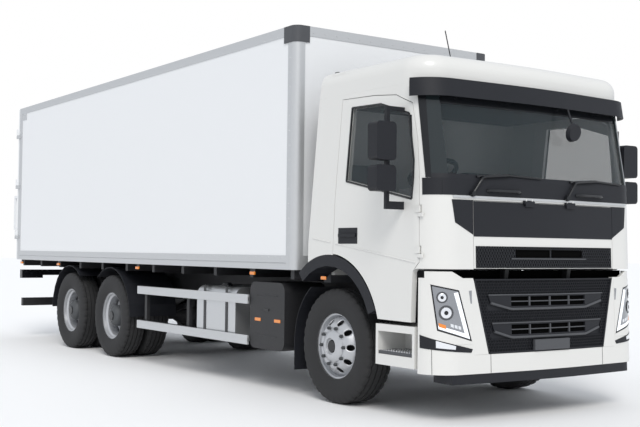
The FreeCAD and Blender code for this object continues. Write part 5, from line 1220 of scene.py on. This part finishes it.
# %% Tank straps and cap
side_face, proud, strap_half = -1.2145, -1.2195, 0.024  # the tank's and boxes' outer face
straps = []
for y in (-1.62, -1.15):
    back, front = y - strap_half, y + strap_half
    straps.append(block((proud, back, 0.428), (side_face, front, 0.994)))
    straps.append(block((proud, back, 0.9895), (-0.46, front, 0.9945)))
    straps.append(block((proud, back, 0.4255), (-0.46, front, 0.4305)))
add("tank_straps", joined(*straps), "chassis", gloss_black)
cap = joined(
    studs((-1.05, -1.34, 0.988), (0, 0, 1), 0.060, 0.018, 32),
    studs((-1.05, -1.34, 1.004), (0, 0, 1), 0.050, 0.016, 12, 0.92),
)
add("tank_cap", cap, "chassis", gloss_black)
print("strap blocks", len(straps))

# %% [markdown]
# Service box and exhaust box are plain in the CAD. Thin strips mark the service box's lid
# and latch, two amber reflectors sit beside it, and upright fins cover the exhaust box.

# %% Box trims and fins
box_trims = joined(
    *[block((-1.2185, -2.60, z), (side_face, -2.22, z + 0.007)) for z in (0.925, 0.530)],
    block((-1.2215, -2.45, 0.775), (side_face, -2.36, 0.800)),
)
add("service_box_trims", box_trims, "chassis", gloss_black)
box_reflectors = joined(*[block((proud, y, 0.672), (side_face, y + 0.11, 0.704))
                          for y in (-2.30, -2.66)])
soften(add("box_reflectors", box_reflectors, "chassis", lamp_amber), 0.002)
fin_places = np.arange(-2.66, -1.85, 0.06)
fins = joined(*[block((-side_face, y, 0.47), (-proud, y + 0.018, 0.93)) for y in fin_places])
add("exhaust_box_fins", fins, "chassis", chassis_black)
print("fins", len(fin_places))

# %% [markdown]
# The entry step is a plate with small bright studs that give a boot its grip. The studs
# are few-sided, because there are hundreds of them.

# %% Steps
step_top = 0.548
step_body = block((-1.230, -4.650, 0.5205), (-0.945, -4.214, step_top))
soften(add("step_plates", both(step_body), "chassis", frame_grey), 0.004)
across, along = np.arange(-1.21, -0.96, 0.030), np.arange(-4.63, -4.22, 0.034)
places = np.stack(np.meshgrid(across, along, [step_top], indexing="ij"), -1).reshape(-1, 3)
step_studs = studs(places, (0, 0, 1), 0.010, 0.004, 6, 0.7)
add("step_treads", both(step_studs), "chassis", bright_steel)
print("studs on a step", len(places))

# %% [markdown]
# Each tail lamp has three fields in the usual order: amber to turn, red to brake, clear
# to reverse, with dark bars between them. Two red reflectors sit on the underrun bar.

# %% Tail lamps
rear_fields = (
    (-1.195, -1.110, lamp_amber, "turn"), (-1.100, -0.995, lamp_red, "brake"),
    (-0.985, -0.900, lamp_clear, "reverse"),
)
lamp_back = 4.8085  # where the plain CAD lamp ends
for low, high, material, word in rear_fields:
    lens = both(block((low, lamp_back, 0.915), (high, 4.8135, 1.025)))
    add(f"rear_{word}_lamps", lens, "chassis", material)
tail_frames = joined(*[block((x - 0.004, lamp_back, 0.908), (x + 0.004, 4.8155, 1.032))
                       for x in (-1.203, -1.105, -0.990, -0.896)])
add("tail_lamp_frames", both(tail_frames), "chassis", gloss_black)
underrun_marks = both(block((-1.15, 4.8095, 0.500), (-1.02, 4.8125, 0.560)))
add("rear_reflectors", underrun_marks, "chassis", lamp_red)

# %% [markdown]
# The studio has a pale sky that lights from all round. Seen directly, the sky is white; the
# Light Path node keeps that white from adding light to the truck.

# %% Sky
scene.view_settings.view_transform = "Standard"
world = bpy.data.worlds.new("studio")
scene.world = world
world.use_nodes = True
light = world.node_tree.nodes["Background"]
light.inputs["Color"].default_value = (0.90, 0.94, 1.0, 1.0)
light.inputs["Strength"].default_value = 0.78
sky = Wire(world.node_tree, light.outputs[0])
seen = sky.node("ShaderNodeBackground", inputs={"Color": (1.0, 1.0, 1.0, 1.0), "Strength": 1.0})
camera_ray = sky.node("ShaderNodeLightPath", "Is Camera Ray")
choice = sky.node("ShaderNodeMixShader", inputs={0: camera_ray, 1: sky, 2: seen})
world.node_tree.links.new(choice.socket, world.node_tree.nodes["World Output"].inputs["Surface"])
print("sky nodes", len(world.node_tree.nodes))

# %% [markdown]
# A wide pale floor takes the truck's shadow. One lamp with a wide disc, high before the
# truck's right front corner, gives the soft shadow a direction and lets the forms read.

# %% Floor and lamp
floor_white = bpy.data.materials.new("floor_white")
floor_white.use_nodes = True
floor_shader = floor_white.node_tree.nodes["Principled BSDF"]
floor_shader.inputs["Base Color"].default_value = (0.93, 0.93, 0.93, 1.0)
floor_shader.inputs["Roughness"].default_value = 0.9
reach = 120
floor_corners = [(-reach, -reach, 0), (reach, -reach, 0), (reach, reach, 0), (-reach, reach, 0)]
floor_mesh = bpy.data.meshes.new("floor")
floor_mesh.from_pydata(floor_corners, [], [(0, 1, 2, 3)])
floor_mesh.materials.append(floor_white)
floor = bpy.data.objects.new("floor", floor_mesh)
lamp_data = bpy.data.lights.new("softbox", "SUN")
lamp_data.energy = 1.6
lamp_data.angle = math.radians(25)
lamp_data.color = (1.0, 0.975, 0.94)
lamp = bpy.data.objects.new("softbox", lamp_data)
lamp.rotation_euler = (math.radians(42), math.radians(-24), math.radians(-8))
for stage_piece in (floor, lamp):
    scene.collection.objects.link(stage_piece)
print("floor width", 2 * reach)

# %% [markdown]
# The camera stands where the photograph was taken from: its place, three angles and lens
# were fitted to points of the truck. Yaw and pitch give the way it looks, and roll turns
# its right and upward directions about that way.

# %% Camera
yaw, pitch, roll = math.radians(-34.898), math.radians(-2.0276), math.radians(0.6298)
place = Vector((-6.7124, -11.1882, 1.3772))
ahead = Vector((-math.sin(yaw) * math.cos(pitch), math.cos(yaw) * math.cos(pitch),
                -math.sin(pitch)))
sideways = ahead.cross(Vector((0, 0, 1))).normalized()
upward = sideways.cross(ahead)
right = math.cos(roll) * sideways + math.sin(roll) * upward
above = -math.sin(roll) * sideways + math.cos(roll) * upward
camera_data = bpy.data.cameras.new("camera")
camera_data.lens = 58.95
camera_data.sensor_width = 36
camera = bpy.data.objects.new("camera", camera_data)
camera.matrix_world = Matrix((
    (right.x, above.x, -ahead.x, place.x),
    (right.y, above.y, -ahead.y, place.y),
    (right.z, above.z, -ahead.z, place.z),
    (0, 0, 0, 1),
))
scene.collection.objects.link(camera)
scene.camera = camera
print("camera at", [round(value, 3) for value in camera.location])

# %% [markdown]
# The dressed truck has to stay inside the CAD model's box.
